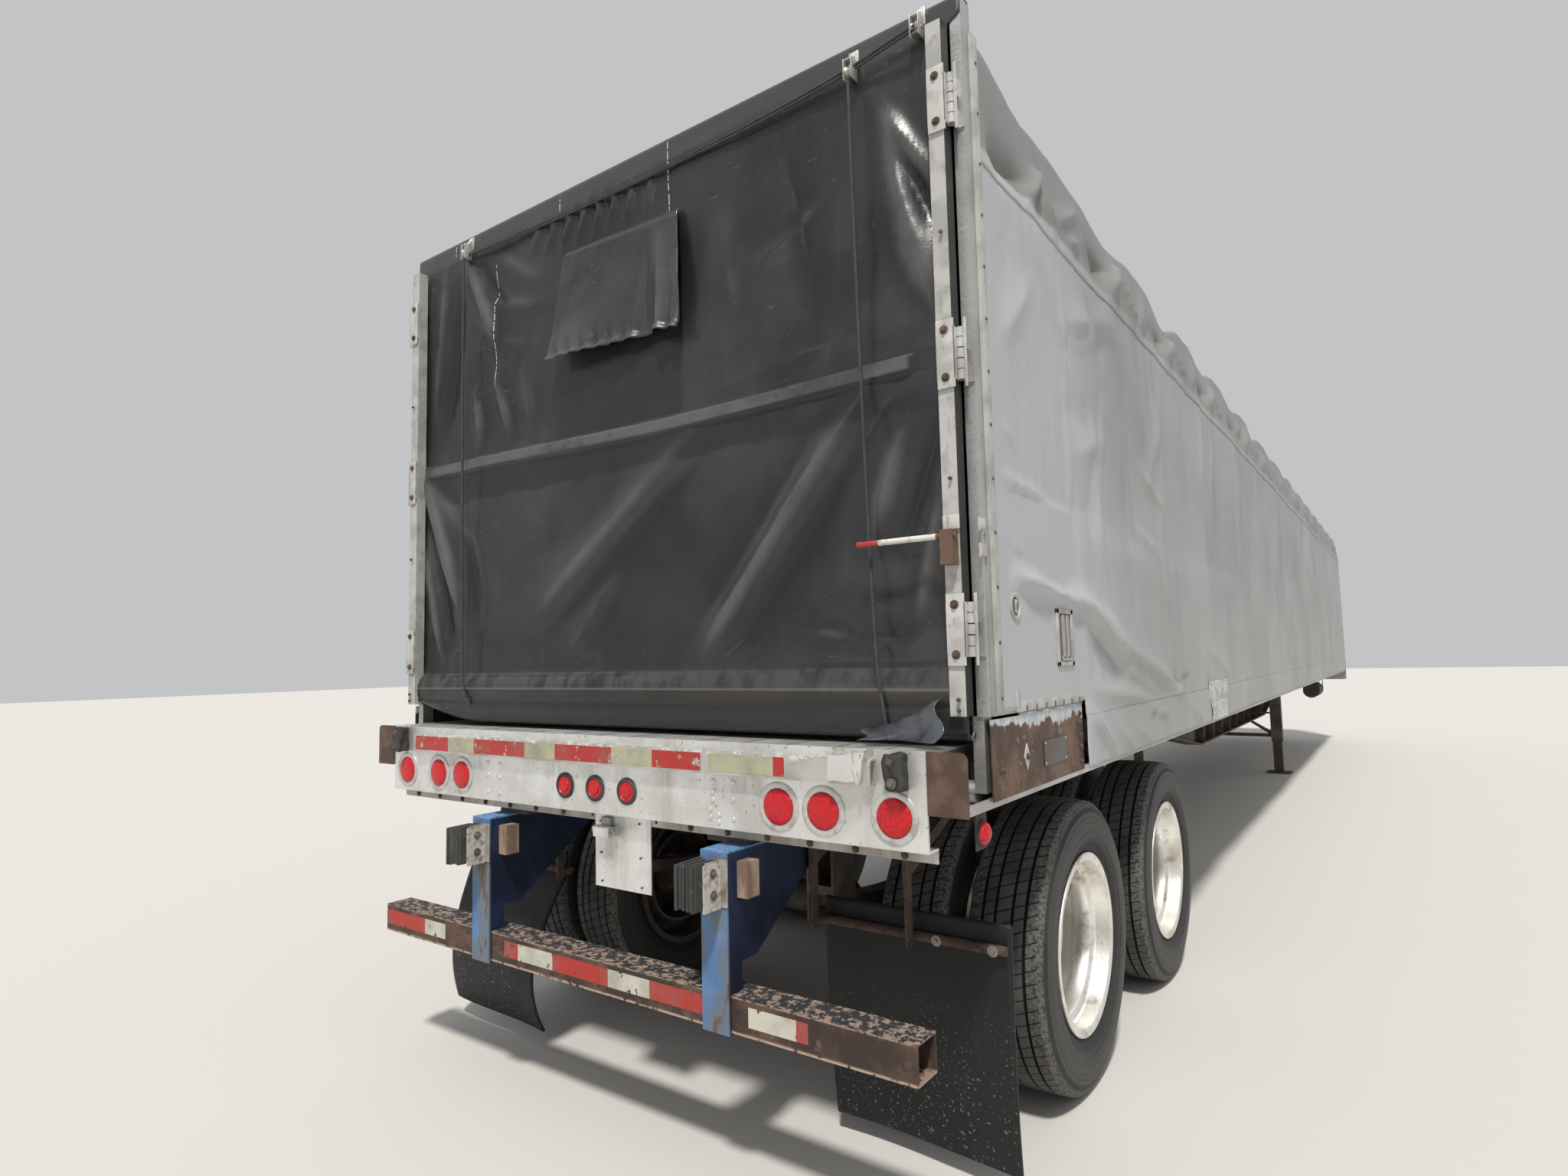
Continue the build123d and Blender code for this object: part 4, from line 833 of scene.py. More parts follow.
# %% [markdown]
# The rear curtain is one black coated sheet. At the top it wraps over the header bar, half way down a flat
# batten sits in a sewn pocket, and at the foot it goes round a roller and hangs on below it as a short flap.
# Its edges are clamped behind the hinged posts, so every pull of the ropes shows as a long diagonal fold.

# %% Curtain finish
# Upright lines of stitching: place across, lowest and highest point, and how far a line reaches to each side
STITCHES = [(0.212, 3.0, 3.275), (-0.741, 2.585, 3.115), (-0.35, 3.2, 3.26), (-1.02, 3.22, 3.28)]
THREAD = 0.0023
# The batten slopes down from both sides to this place
BATTEN_LOWEST = 0.18


def batten_masks(made, height, across, edge):
    """Masks of the batten's pocket and of the dark cloth under it."""
    left_of = across.maths("SUBTRACT", BATTEN_LOWEST, across, clamp=True)
    right_of = across.maths("SUBTRACT", across, BATTEN_LOWEST, clamp=True)
    level = height - left_of * 0.028 - right_of * 0.012
    pocket = made.between(level, 2.258, 2.302, 0.004) * (1 - made.step(across, 1.10, 1.115))
    return pocket, made.step(height + edge, 2.19, 2.21) * (1 - made.step(level, 2.25, 2.258))


def curtain_cloth():
    """Black coated cloth: painted highlights, patchy with dust, where it bulges and painted shade in its
    hollows, paler below the batten, with dashes of white stitching.
    """
    made = Finish("curtain_vinyl", coat=0.16)
    patches = made.noise(1.7, 6)
    dust = made.noise(6, 6, roughness=0.65)
    runs = made.noise(22, 4, made.stretched((1, 1, 0.1)))
    scratches = made.noise(18, 3, made.stretched((1, 1, 6)), distortion=0.4)
    fine = made.noise(120, 3)
    edge = made.noise(5, 3, made.stretched((1, 0, 0))) * 0.08
    across, height, fold = made.part(0), made.part(2), made.mark("fold")
    base = made.mix(made.step(patches, 0.38, 0.64), (0.010, 0.0105, 0.012), (0.026, 0.026, 0.0275))
    base = made.mix(made.step(dust, 0.5, 0.75) * 0.3, base, (0.055, 0.054, 0.054))
    base = made.mix(made.step(runs, 0.56, 0.8) * 0.2, base, (0.07, 0.068, 0.066))
    base = made.mix(made.step(scratches, 0.7, 0.73) * 0.4, base, (0.16, 0.16, 0.155))
    dusty_field = (1 - made.step(height + edge, 2.185, 2.205)) * made.step(height + patches * 0.4, 1.75, 2.15)
    base = made.mix(dusty_field * (1 - made.step(across, 0.9, 1.0) * 0.7) * 0.3, base, (0.055, 0.054, 0.054))
    pocket, under_batten = batten_masks(made, height, across, edge)
    base = made.mix(under_batten * 0.8, base, (0.008, 0.0085, 0.010))
    base = made.mix(pocket * (made.step(dust, 0.35, 0.6) * 0.6 + 0.3), base, (0.105, 0.103, 0.1))
    # Painted shadow of the window flap on the cloth below it
    window = made.between(across, -0.38, 0.28, 0.03) * made.between(height, 2.311, 2.589, 0.004)
    base = made.mix(window * 0.75, base, (0.009, 0.009, 0.0095))
    # Painted sheen along the top of the roller, broken up by the runs noise
    roll_sheen = made.step(height, 1.385, 1.40) * (1 - made.step(height, 1.452, 1.458))
    base = made.mix(roll_sheen * made.step(runs, 0.35, 0.6) * 0.5, base, (0.085, 0.083, 0.08))
    # Painted highlights on the fold crests, patchy with dust, and painted shade in the hollows
    crest_highlight = made.step(fold, 0.003, 0.022) * (made.step(dust, 0.2, 0.6) * 0.5 + 0.35)
    base = made.mix(crest_highlight, base, (0.098, 0.097, 0.098))
    base = made.mix(1 - made.step(fold, -0.018, -0.003), base, (0.006, 0.0065, 0.009))
    # Painted warm reflection of the ground on the lower cloth
    low = 1 - made.step(height, 1.36, 1.75)
    base = made.mix(low * made.step(patches, 0.3, 0.7) * 0.35, base, (0.027, 0.023, 0.019))
    base = made.mix(made.step(height, 3.19, 3.215) * 0.3, base, (0.11, 0.113, 0.12))
    base = made.mix(made.between(height, 1.392, 1.401, 0.002) * 0.7, base, (0.13, 0.11, 0.09))
    # Painted shade on the flap below the roller
    base = made.mix((1 - made.step(height, 1.352, 1.388)) * 0.8, base, (0.007, 0.0072, 0.0085))
    dashes = made.step(made.noise(60, 2, made.stretched((0, 0, 1))), 0.44, 0.5)
    for place, lowest, highest in STITCHES:
        line = made.between(across, place - THREAD, place + THREAD, 0.0012)
        line = line * made.between(height, lowest, highest, 0.01)
        base = made.mix(line * dashes, base, (0.62, 0.62, 0.6))
    made.colour(base)
    made.rough(dust * 0.16 + patches * 0.12 + 0.2)
    made.bump(made.weave() * 0.06 + fine * 0.2 + dust * 0.7 + scratches * 0.15, 0.0025)
    return made.material


# %% Curtain
CURTAIN_AT, CURTAIN_HALF = 0.146, 1.257
# The curtain's section from its foot upwards: distance ahead of the sill, height
CURTAIN_LINE = [(0.160, 1.290), (0.150, 1.272), (0.130, 1.266), (0.1165, 1.280), (0.1125, 1.310),
                (0.1125, 1.338), (0.1150, 1.350), (0.1110, 1.362), (0.1095, 1.385), (0.1115, 1.412),
                (0.1220, 1.436), (0.1360, 1.450), (0.1440, 1.470), (CURTAIN_AT, 1.520), (CURTAIN_AT, 3.200),
                (0.1475, 3.262), (0.1485, 3.2800), (0.1520, 3.2846), (0.2050, 3.2850)]
BATTEN_ACROSS = [-1.33, -0.45, 0.18, 0.93, 1.10]
BATTEN_HEIGHT = [2.318, 2.296, 2.279, 2.285, 2.291]
CURTAIN_FOLDS = [
    (0.930, 2.210, 0.322, 1.480, 0.050, 0.026), (1.000, 2.160, 0.400, 1.440, 0.050, -0.014),
    (0.800, 2.190, 0.240, 1.520, 0.060, -0.008), (0.290, 2.220, -0.530, 1.640, 0.060, 0.022),
    (0.340, 2.150, -0.460, 1.580, 0.055, -0.012), (-0.060, 1.780, -0.320, 1.510, 0.035, 0.013),
    (-0.020, 1.740, -0.260, 1.500, 0.030, -0.008), (-1.220, 2.290, -0.970, 1.720, 0.035, 0.026),
    (-1.220, 2.170, -1.040, 1.600, 0.030, -0.020), (-1.210, 2.020, -1.090, 1.520, 0.026, 0.020),
    (-1.160, 2.240, -0.860, 2.000, 0.040, 0.012), (-0.960, 2.100, -0.840, 1.640, 0.045, -0.012),
    (1.060, 2.950, 1.190, 2.430, 0.038, 0.024), (1.030, 3.080, 1.210, 2.760, 0.028, 0.018),
    (1.110, 2.900, 1.215, 2.620, 0.025, -0.016), (1.100, 2.150, 0.970, 1.800, 0.050, 0.018),
    (1.190, 2.130, 1.060, 1.760, 0.040, -0.014), (1.205, 1.980, 1.110, 1.560, 0.030, 0.014),
    (0.720, 1.580, 1.060, 1.500, 0.022, 0.014), (0.860, 1.530, 1.150, 1.560, 0.020, -0.010),
    (-0.930, 3.190, -0.740, 2.790, 0.032, 0.020), (-0.860, 3.150, -0.640, 2.860, 0.026, -0.012),
    (-0.960, 3.140, -1.090, 2.480, 0.048, -0.014), (-1.080, 3.120, -1.150, 2.520, 0.030, 0.014),
    (-0.870, 2.600, -0.830, 2.370, 0.024, 0.016), (-0.740, 2.640, -0.640, 2.400, 0.028, 0.014),
    (-0.560, 2.620, -0.500, 2.380, 0.030, 0.010), (-0.720, 3.130, -0.440, 2.960, 0.026, 0.012),
    (-0.820, 2.960, -0.420, 2.860, 0.024, 0.009), (-0.700, 2.780, -0.440, 2.700, 0.022, 0.008),
    (0.400, 3.040, 0.480, 2.600, 0.050, 0.008), (0.560, 2.700, 0.840, 2.840, 0.026, 0.006),
    (0.700, 3.060, 0.830, 2.420, 0.050, -0.010), (0.420, 2.350, 0.900, 2.420, 0.030, 0.007),
    (-0.430, 3.070, -0.360, 3.190, 0.013, 0.010), (-0.340, 3.060, -0.270, 3.200, 0.013, 0.011),
    (-0.250, 3.060, -0.190, 3.200, 0.013, 0.011), (-0.170, 3.050, -0.110, 3.200, 0.012, 0.010),
    (-0.090, 3.060, -0.030, 3.190, 0.012, 0.010), (0.000, 3.050, 0.050, 3.190, 0.012, 0.009),
    (0.100, 3.050, 0.140, 3.180, 0.012, 0.008), (-0.520, 3.090, -0.450, 3.190, 0.015, 0.008),
]
CURTAIN_DEPTH, VINYL_WALL = 1.5, 0.0018
# In front of the roller the cloth can't come out further, and below its top the flap hangs free
ROLLER_REAR, FLAP_TOP = 0.125, 1.352


def build_curtain():
    """The sheet from its foot flap to the header, with its roller, batten pocket and folds."""
    line = np.array(CURTAIN_LINE)
    places = np.concatenate(([0], np.cumsum(np.hypot(*np.diff(line, axis=0).T))))

    # Rows are closest round the roller and the batten
    stops = [0, *np.interp((1.52, 2.25, 2.35, 3.199), line[12:15, 1], places[12:15]), places[-1]]
    counts = [46, 56, 18, 64, 16]
    row_places = np.concatenate([np.linspace(a, b, n, endpoint=False)
                                 for a, b, n in zip(stops, stops[1:], counts)] + [[places[-1]]])
    mesh, across, along = grid_sheet("curtain_sheet", 176, len(row_places) - 1)
    s = row_places[np.rint(along * (len(row_places) - 1)).astype(int)]
    d, z = np.interp(s, places, line[:, 0]), np.interp(s, places, line[:, 1])
    x = (across * 2 - 1) * (CURTAIN_HALF + 0.039 * smooth(3.205, 3.235, z))

    batten = np.interp(x, BATTEN_ACROSS, BATTEN_HEIGHT)
    pocket = smooth(batten - 0.027, batten - 0.019, z) * (1 - smooth(batten + 0.019, batten + 0.027, z))
    lift = CURTAIN_DEPTH * folds(CURTAIN_FOLDS, x, z, 1.3)
    lift += 0.006 * ripple(x, z, z * 0, 2.2) + 0.002 * ripple(x, z, z * 0, 9, 3)
    lift -= 0.012 * np.exp(-((z - 2.75) / 0.3) ** 2) * np.exp(-((x - 0.1) / 0.8) ** 2)
    lift -= 0.014 * np.exp(-((z - 1.85) / 0.35) ** 2) * np.exp(-((x - 0.1) / 0.8) ** 2)
    calm = smooth(1.46, 1.56, z) * (1 - smooth(3.19, 3.23, z))
    clamped = 1 - smooth(1.215, 1.245, np.abs(x))
    lift = clamped * (lift * calm * (1 - 0.8 * pocket) + 0.011 * pocket * (1 - smooth(1.10, 1.13, x)))
    # The foot: small crosswise waves on the roller, and a flap that is shorter on the road side
    lift += (1 - smooth(1.40, 1.47, z)) * 0.002 * ripple(x, z, z * 0, 12, 3)
    lift = np.where(d < ROLLER_REAR, np.minimum(lift, 0.001), lift)
    short = np.clip((-0.78 - x) / 0.42, 0, 1) ** 2 * (z < FLAP_TOP)
    z = z + (FLAP_TOP - z) * 0.85 * short
    d = d - np.clip(lift, -0.05, 0.030)
    mark_points(mesh, "fold", np.where(pocket > 0.1, 0, lift))
    lay(mesh, np.column_stack((x, d + SILL, z)), x, s)
    sheet = cloth_piece(mesh, black_vinyl, VINYL_WALL, "sliding_frame", ["curtain"])


black_vinyl = curtain_cloth()
build_curtain()


# %% [markdown]
# A square of the same cloth covers the window. It is sewn on along its top only, so its foot has curled
# outwards and its free corner has rolled. It is bent with two smooth curves instead of a simulation.

# %% Window flap
FLAP_CORNERS = [(-0.374, 2.605), (0.292, 2.576), (-0.307, 3.033), (0.265, 3.014)]


def build_window_flap():
    """Four corners joined by straight edges, then bowed outwards towards the foot."""
    mesh, u, v = grid_sheet("window_flap", 70, 50)
    (x0, z0), (x1, z1), (x2, z2), (x3, z3) = FLAP_CORNERS
    x = (x0 * (1 - u) + x1 * u) * (1 - v) + (x2 * (1 - u) + x3 * u) * v
    z = (z0 * (1 - u) + z1 * u) * (1 - v) + (z2 * (1 - u) + z3 * u) * v
    hang = (1 - v) ** 1.3
    bow = 0.010 + 0.026 * hang + 0.010 * hang * np.sin(u * 5.2 + 0.6)
    crest, valley = np.exp(-np.abs((u - 0.87) / 0.05) ** 1.4), np.exp(-np.abs((u - 0.76) / 0.05) ** 1.4)
    bow += (0.030 * crest - 0.026 * valley) * np.minimum(hang * 1.4, 1)
    bow += 0.006 * np.sin(u * 60 + 4 * v) * np.exp(-(v / 0.14) ** 2)
    bow += 0.010 * np.exp(-((u - 0.97) / 0.03) ** 2) * hang + 0.004 * ripple(x, z, z * 0, 7)
    curl = np.exp(-(v / 0.045) ** 2)
    bow += 0.012 * curl
    z = z + 0.006 * curl * np.sin(u * 9) + 0.014 * np.exp(-((u - 0.55) / 0.3) ** 2) * np.exp(-(v / 0.2) ** 2)
    hem = np.exp(-((v - 0.07) / 0.012) ** 2)
    bow -= 0.003 * hem
    # The fold value is raised over the whole flap, so the finish paints a highlight on it, brighter on its
    # bulges
    mark_points(mesh, "fold", 0.008 + 0.5 * (bow - 0.010 - 0.026 * hang))
    d = CURTAIN_AT + 0.001 - np.clip(bow, 0.006, 0.062) * smooth(1.0, 0.94, v) - 0.006
    lay(mesh, np.column_stack((x, d + SILL, z)), x, z)
    sheet = cloth_piece(mesh, black_vinyl, VINYL_WALL, "sliding_frame")


build_window_flap()

# %% [markdown]
# Two ropes lift the curtain. Each runs down in front of it and under the roller, and at the top the left one
# crosses over to the right, where both go round a small block. A rope is a curve with a round section; its
# braid is a bump of slanting stripes, far cheaper than modelled strands.

# %% Ropes
def braid(name):
    """Black braided cord, grey with dust on its crowns."""
    made = Finish(name)
    ridges = made.wave(made.part(2) * 900 + made.part(0) * 2400) * 0.5 + 0.5
    dust = made.noise(30, 4)
    crowns = ridges * (made.step(dust, 0.3, 0.65) * 0.5 + 0.5)
    made.colour(made.mix(crowns, (0.02, 0.02, 0.021), (0.10, 0.10, 0.098)))
    made.rough(0.75 + dust * 0.1)
    made.bump(ridges, 0.0006)
    return made.material


rope_finish = braid("braided_rope")


def rope(name, route, radius, replaces=()):
    """Rope along places (x, distance ahead of the sill, z)."""
    data = bpy.data.curves.new(name, "CURVE")
    data.dimensions = "3D"
    data.bevel_depth = radius
    data.bevel_resolution = 3
    data.resolution_u = 8
    data.use_fill_caps = True
    spline = data.splines.new("NURBS")
    spline.points.add(len(route) - 1)
    for point, place in zip(spline.points, route):
        point.co = (*at_place(place), 1)
    spline.order_u = 3
    spline.use_endpoint_u = True
    data.materials.append(rope_finish)
    fit_out(bpy.data.objects.new(name, data), "sliding_frame", replaces)


ROPE_AT, ROPE_RADIUS, THIN_ROPE_RADIUS = 0.1027, 0.005, 0.0042
LEFT_ROPE, RIGHT_ROPE, CORNER_BLOCK = -0.903, 0.964, 1.18
rope("rope_left", [(LEFT_ROPE, ROPE_AT, 3.165), (LEFT_ROPE, ROPE_AT, 2.9), (-0.899, ROPE_AT, 1.9),
                   (-0.893, ROPE_AT, 1.50), (-0.885, 0.1012, 1.42), (-0.872, 0.1005, 1.37),
                   (-0.853, 0.104, 1.335), (-0.846, 0.122, 1.322)], ROPE_RADIUS, ["curtain_ropes"])
rope("rope_right", [(RIGHT_ROPE, ROPE_AT, 3.145), (0.966, ROPE_AT, 2.9), (0.982, ROPE_AT, 2.0),
                    (0.998, ROPE_AT, 1.50), (1.006, 0.1012, 1.42), (1.014, 0.1005, 1.37),
                    (1.022, 0.1035, 1.30), (1.026, 0.118, 1.262)], ROPE_RADIUS)
for number, rise in enumerate((0.0, 0.011)):
    rope(f"rope_across_{number + 1}",
         [(LEFT_ROPE + 0.004, 0.120, 3.188 + rise * 0.4), (-0.6, 0.134, 3.176 + rise),
          (0.0, 0.136, 3.168 + rise * 0.6), (0.6, 0.134, 3.170 + rise), (RIGHT_ROPE, 0.118, 3.182 + rise),
          (1.07, 0.112, 3.196 + rise), (CORNER_BLOCK, 0.104, 3.205 + rise)], THIN_ROPE_RADIUS)

# %% [markdown]
# The rear sill carries nine red lamps. The six large ones sit in bright flanges riveted to the sheet, the
# three small ones in black rubber rings. Every round part is a short profile spun about the lamp's axis.

# %% Rear lamps
BACKWARDS = (0, -1, 0)
LAMP_HEIGHT = 1.080
LAMP_PLACES = [side * x for side in (1, -1) for x in (1.096, 0.882, 0.735)]
MARKER_PLACES = [-0.150, -0.004, 0.142]
SIDE_LAMP = (1.2665, 0.142, 1.036)
# Profiles: distance out along the axis, radius
LENS = [(-0.012, 0), (-0.012, 0.0495), (0.003, 0.0495), (0.0055, 0.047), (0.0085, 0.036), (0.0100, 0.018),
        (0.0105, 0)]
FLANGE = [(0, 0.0505), (0, 0.068), (0.0022, 0.068), (0.0038, 0.0655), (0.0042, 0.060), (0.0036, 0.053),
          (0.0022, 0.0505), (0, 0.0505)]
FLANGE_RIVETS, FLANGE_FACE = 0.061, -0.004
SMALL_LENS = [(-0.010, 0), (-0.010, 0.0310), (0.0045, 0.0310), (0.0050, 0.0295), (0.0030, 0.0280),
              (0.0032, 0.0200), (0.0072, 0.0180), (0.0080, 0.0090), (0.0082, 0)]
GROMMET = [(0, 0.0315), (0, 0.0430), (0.0040, 0.0425), (0.0075, 0.0385), (0.0078, 0.0345), (0.0050, 0.0315),
           (0, 0.0315)]
DOME = [(-0.004, 0), (-0.004, 0.0300), (0.008, 0.0295), (0.016, 0.0240), (0.0215, 0.0140), (0.0235, 0)]
DOME_RING = [(0, 0.028), (0, 0.034), (0.006, 0.033), (0.006, 0.028), (0, 0.028)]


def lamp_pieces():
    """Lenses, flanges and rubber rings of all the red lamps."""
    lenses, flanges, rings = bmesh.new(), bmesh.new(), bmesh.new()
    for x in LAMP_PLACES:
        turned(lenses, LENS, (x, 0, LAMP_HEIGHT), BACKWARDS, 40)
        turned(flanges, FLANGE, (x, 0, LAMP_HEIGHT), BACKWARDS, 40)
        for angle in (20, 140, 260):
            turn = math.radians(angle)
            up, across = FLANGE_RIVETS * math.cos(turn), FLANGE_RIVETS * math.sin(turn)
            rivet(flanges, (x + across, FLANGE_FACE, LAMP_HEIGHT - up), BACKWARDS, 0.0035)
    for x in MARKER_PLACES:
        turned(lenses, SMALL_LENS, (x, 0, LAMP_HEIGHT), BACKWARDS)
        turned(rings, GROMMET, (x, 0, LAMP_HEIGHT), BACKWARDS)
    x, d, z = SIDE_LAMP
    for side in (1, -1):
        mirrored_block(rings, side, 1.262, x, 0.108, 0.176, 0.995, 1.095, 0.0015)
        turned(rings, DOME_RING, (side * x, d, z), (side, 0, 0))
        turned(lenses, DOME, (side * x, d, z), (side, 0, 0))
    new_piece("lamp_lenses", lenses, "root", "lamp_red", replaces=["lamps"])
    bright = zinc("lamp_flange_finish", (0.62, 0.61, 0.59), 0.35)
    new_piece("lamp_flanges", flanges, "root", "bright_steel", bright)
    new_piece("lamp_rings", rings, "root", "black_rubber")


lamp_pieces()

# %% [markdown]
# Rows of rivets and bolt heads show where the sill sheet is joined to the frame behind it. Their places are
# written as a short table of columns, because on the real trailer no two columns are alike.

# %% Rivets, bolts and the licence plate lamp
RIVET_COLUMNS = [
    (-0.576, (1.133, 1.089, 1.029)), (-0.507, (1.129, 1.083, 1.027)), (0.497, (1.134, 1.104, 1.080)),
    (0.485, (1.052, 1.030)), (0.517, (1.038, 1.018)), (0.573, (1.135, 1.086, 1.031)),
]
LIP_AT, LIP_BOLT_HEIGHT, LIP_HOLES, LIP_PITCH = 0.050, 0.980, 16, 0.146
PLATE_BOLTS = [(-0.028, 0.968), (0.150, 0.972), (-0.022, 0.775), (0.160, 0.775), (-0.026, 0.866),
               (0.155, 0.866)]


def sill_fastenings():
    """Rivets in the sheet, bolts through the lip, and the small lamp over the licence plate."""
    rivets, bolts = bmesh.new(), bmesh.new()
    for x, heights in RIVET_COLUMNS:
        for height in heights:
            rivet(rivets, (x, 0, height), BACKWARDS, 0.0095)
    for number in range(LIP_HOLES):
        x = (number - (LIP_HOLES - 1) / 2) * LIP_PITCH
        if not -0.10 < x < 0.25:
            bolt(bolts, (x, LIP_AT, LIP_BOLT_HEIGHT), BACKWARDS, 0.010)
    for x, height in PLATE_BOLTS:
        bolt(bolts, (x, LIP_AT - 0.004, height), BACKWARDS, 0.006, washer=False)
    new_piece("sill_rivets", rivets, "root", "worn_aluminium")
    new_piece("sill_bolts", bolts, "root", "rusted_steel", cast_iron("old_bolts", (0.07, 0.055, 0.045)))
    lamp = bmesh.new()
    block(lamp, (-0.030, 0.006, 0.936), (0.052, 0.036, 0.958), 0.005)
    block(lamp, (-0.012, 0.030, 0.946), (0.030, 0.048, 0.984), 0.003)
    rod(lamp, (0.052, 0.020, 0.947), (0.060, 0.024, 0.930), 0.004)
    shell = zinc("licence_lamp_shell", (0.36, 0.37, 0.33), 0.2)
    new_piece("licence_lamp", lamp, "root", "bright_steel", shell)


sill_fastenings()


# %% Sill sheet
def refinish(node, finish):
    """Gives one of the model's nodes a finish of its own."""
    frame["nodes"][node].data.materials[0] = finish


def sill_finish():
    """Bright aluminium sheet with grey runs of dirt, tan along the lip below it."""
    made = Finish("sill_sheet", metallic=0.85)
    patches = made.noise(4, 6)
    runs = made.noise(7, 6, made.stretched((1, 1, 0.14)), roughness=0.65)
    grit = made.noise(70, 4)
    base = made.mix(made.step(patches, 0.42, 0.62), (0.82, 0.82, 0.81), (0.66, 0.655, 0.63))
    dirty = made.step(runs, 0.46, 0.68) * 0.5
    base = made.mix(dirty, base, (0.3, 0.285, 0.26))
    base = made.mix(made.step(grit, 0.62, 0.7) * 0.5, base, (0.2, 0.18, 0.16))
    lip = (1 - made.step(made.part(2), 0.997, 1.003)) * (made.step(runs, 0.3, 0.6) * 0.35 + 0.45)
    made.colour(made.mix(lip, base, (0.25, 0.21, 0.165)))
    made.rough(patches * 0.3 + 0.32)
    made.metal(0.85 - dirty - lip * 0.7)
    made.bump(patches * 0.7 + grit * 0.15, 0.004)
    return made.material


refinish("rear_sill", sill_finish())
refinish("flap_brackets", rusted_steel("bracket_rust", (0.05, 0.031, 0.023)))
refinish("front_bulkhead", worn_aluminium("bulkhead_sheet", 0.5, 0.15, 0.5, 0.9))

# %% [markdown]
# The reflective tape is not a picture. Its blocks are a colour ramp along X whose stops jump instead of
# blending, and the ramp's alpha says where no tape is left. Noise then tears its edges.

# %% Reflective tape
TAPE_REACH = 1.2


def taped(made, base, blocks, face, low, high, torn=0.58):
    """Covers a rear face with blocks of tape: rows of start, end, colour."""
    stops = [(0.0, (0, 0, 0, 0))]
    for start, end, colour in blocks:
        stops.append((start / (2 * TAPE_REACH) + 0.5, (*colour, 1)))
        stops.append((end / (2 * TAPE_REACH) + 0.5, (0, 0, 0, 0)))
    merged = {place: colour for place, colour in stops if colour[3]}
    stops = [stop for stop in stops if stop[1][3] or stop[0] not in merged]
    along = made.part(0) * (0.5 / TAPE_REACH) + 0.5
    blocks_ramp = made.node("ShaderNodeValToRGB", {"stops": stops}, {"Fac": along})
    present = Value(made.tree, blocks_ramp.socket.node.outputs[1])
    within = made.between(made.part(2), low, high, 0.001)
    on_face = 1 - made.step(made.part(1), ahead(face) + 0.0008, ahead(face) + 0.0016)
    wear = made.noise(24, 7, roughness=0.7)
    mask = present * within * on_face * (1 - made.step(wear, torn, torn + 0.02))
    dirt = made.step(made.noise(10, 6), 0.42, 0.7) * 0.45
    tape = made.mix(dirt, blocks_ramp, (0.16, 0.14, 0.11))
    return made.mix(mask, base, tape), mask


RED, CREAM = (0.40, 0.022, 0.018), (0.40, 0.39, 0.27)
BAR_BLOCKS = [(-0.995, -0.785, RED), (-0.785, -0.621, CREAM), (-0.621, -0.335, RED), (-0.335, -0.171, CREAM),
              (-0.171, 0.103, RED), (0.103, 0.278, CREAM), (0.278, 0.477, RED), (0.500, 0.738, CREAM),
              (0.738, 0.772, RED)]
GUARD_CREAM = (0.55, 0.53, 0.45)
GUARD_BLOCKS = [(-1.160, -0.909, RED), (-0.909, -0.770, GUARD_CREAM), (-0.425, -0.348, RED),
                (-0.348, -0.176, GUARD_CREAM), (-0.176, 0.091, RED), (0.091, 0.264, GUARD_CREAM),
                (0.264, 0.492, RED), (0.640, 0.800, GUARD_CREAM), (0.800, 0.835, RED)]


def tape_bar_finish():
    """Worn aluminium channel, chalky along its top, with nine blocks of tape on its face."""
    made = Finish("tape_bar", metallic=0.6)
    patches = made.noise(9, 6)
    chalk = made.step(made.noise(30, 7, roughness=0.7), 0.5, 0.56) * made.step(made.part(2), 1.205, 1.224)
    base = made.mix(made.step(patches, 0.4, 0.65), (0.56, 0.55, 0.52), (0.4, 0.38, 0.33))
    base = made.mix(chalk, base, (0.8, 0.79, 0.75))
    colour, mask = taped(made, base, BAR_BLOCKS, -0.030, 1.1665, 1.2195)
    made.colour(colour)
    made.metal(0.6 - mask * 0.6)
    made.rough(patches * 0.25 + 0.33 - mask * 0.1)
    made.bump(mask * 0.25 + patches * 0.6 + chalk * 0.3, 0.003)
    return made.material


def guard_tube_finish():
    """Rusty square tube: black paint left on its top, tape on its face."""
    made = Finish("guard_tube")
    patches = made.noise(6, 7, roughness=0.62)
    scabs = made.noise(40, 7, roughness=0.7)
    speckle = made.noise(44, 5, roughness=0.7)
    base = made.mix(made.step(patches, 0.42, 0.6), (0.036, 0.021, 0.015), (0.105, 0.058, 0.038))
    base = made.mix(made.step(scabs, 0.53, 0.62) * 0.85, base, (0.035, 0.024, 0.02))
    base = made.mix(made.step(made.noise(15, 6), 0.58, 0.68) * 0.45, base, (0.21, 0.16, 0.12))
    top = made.step(made.part(2), 0.5565, 0.559)
    paint = made.mix(made.step(speckle, 0.50, 0.55), (0.026, 0.028, 0.032), (0.3, 0.215, 0.165))
    base = made.mix(top, base, paint)
    rim = made.step(made.part(2), 0.552, 0.558) + (1 - made.step(made.part(2), 0.463, 0.470))
    base = made.mix(rim.clamped() * made.step(scabs, 0.42, 0.5) * (1 - top), base, (0.42, 0.3, 0.23))
    colour, mask = taped(made, base, GUARD_BLOCKS, -0.040, 0.486, 0.541, 0.60)
    made.colour(colour)
    made.rough(0.6 + patches * 0.3 - mask * 0.25)
    made.bump(scabs * 0.6 + patches * 0.3 + mask * 0.2, 0.0035)
    return made.material


refinish("tape_bar", tape_bar_finish())
refinish("guard_tube", guard_tube_finish())

# %% [markdown]
# The bar's kerb side end was hit long ago: a torn bracket curls out of it. The sill's top corners carry
# chewed rubber pads, each held by two bolts.

# %% Bent bracket and corner pads
# Far enough apart that the noise of the three axes has nothing in common
APART = [Vector((0, 0, 0)), Vector((9, 0, 0)), Vector((0, 9, 0))]
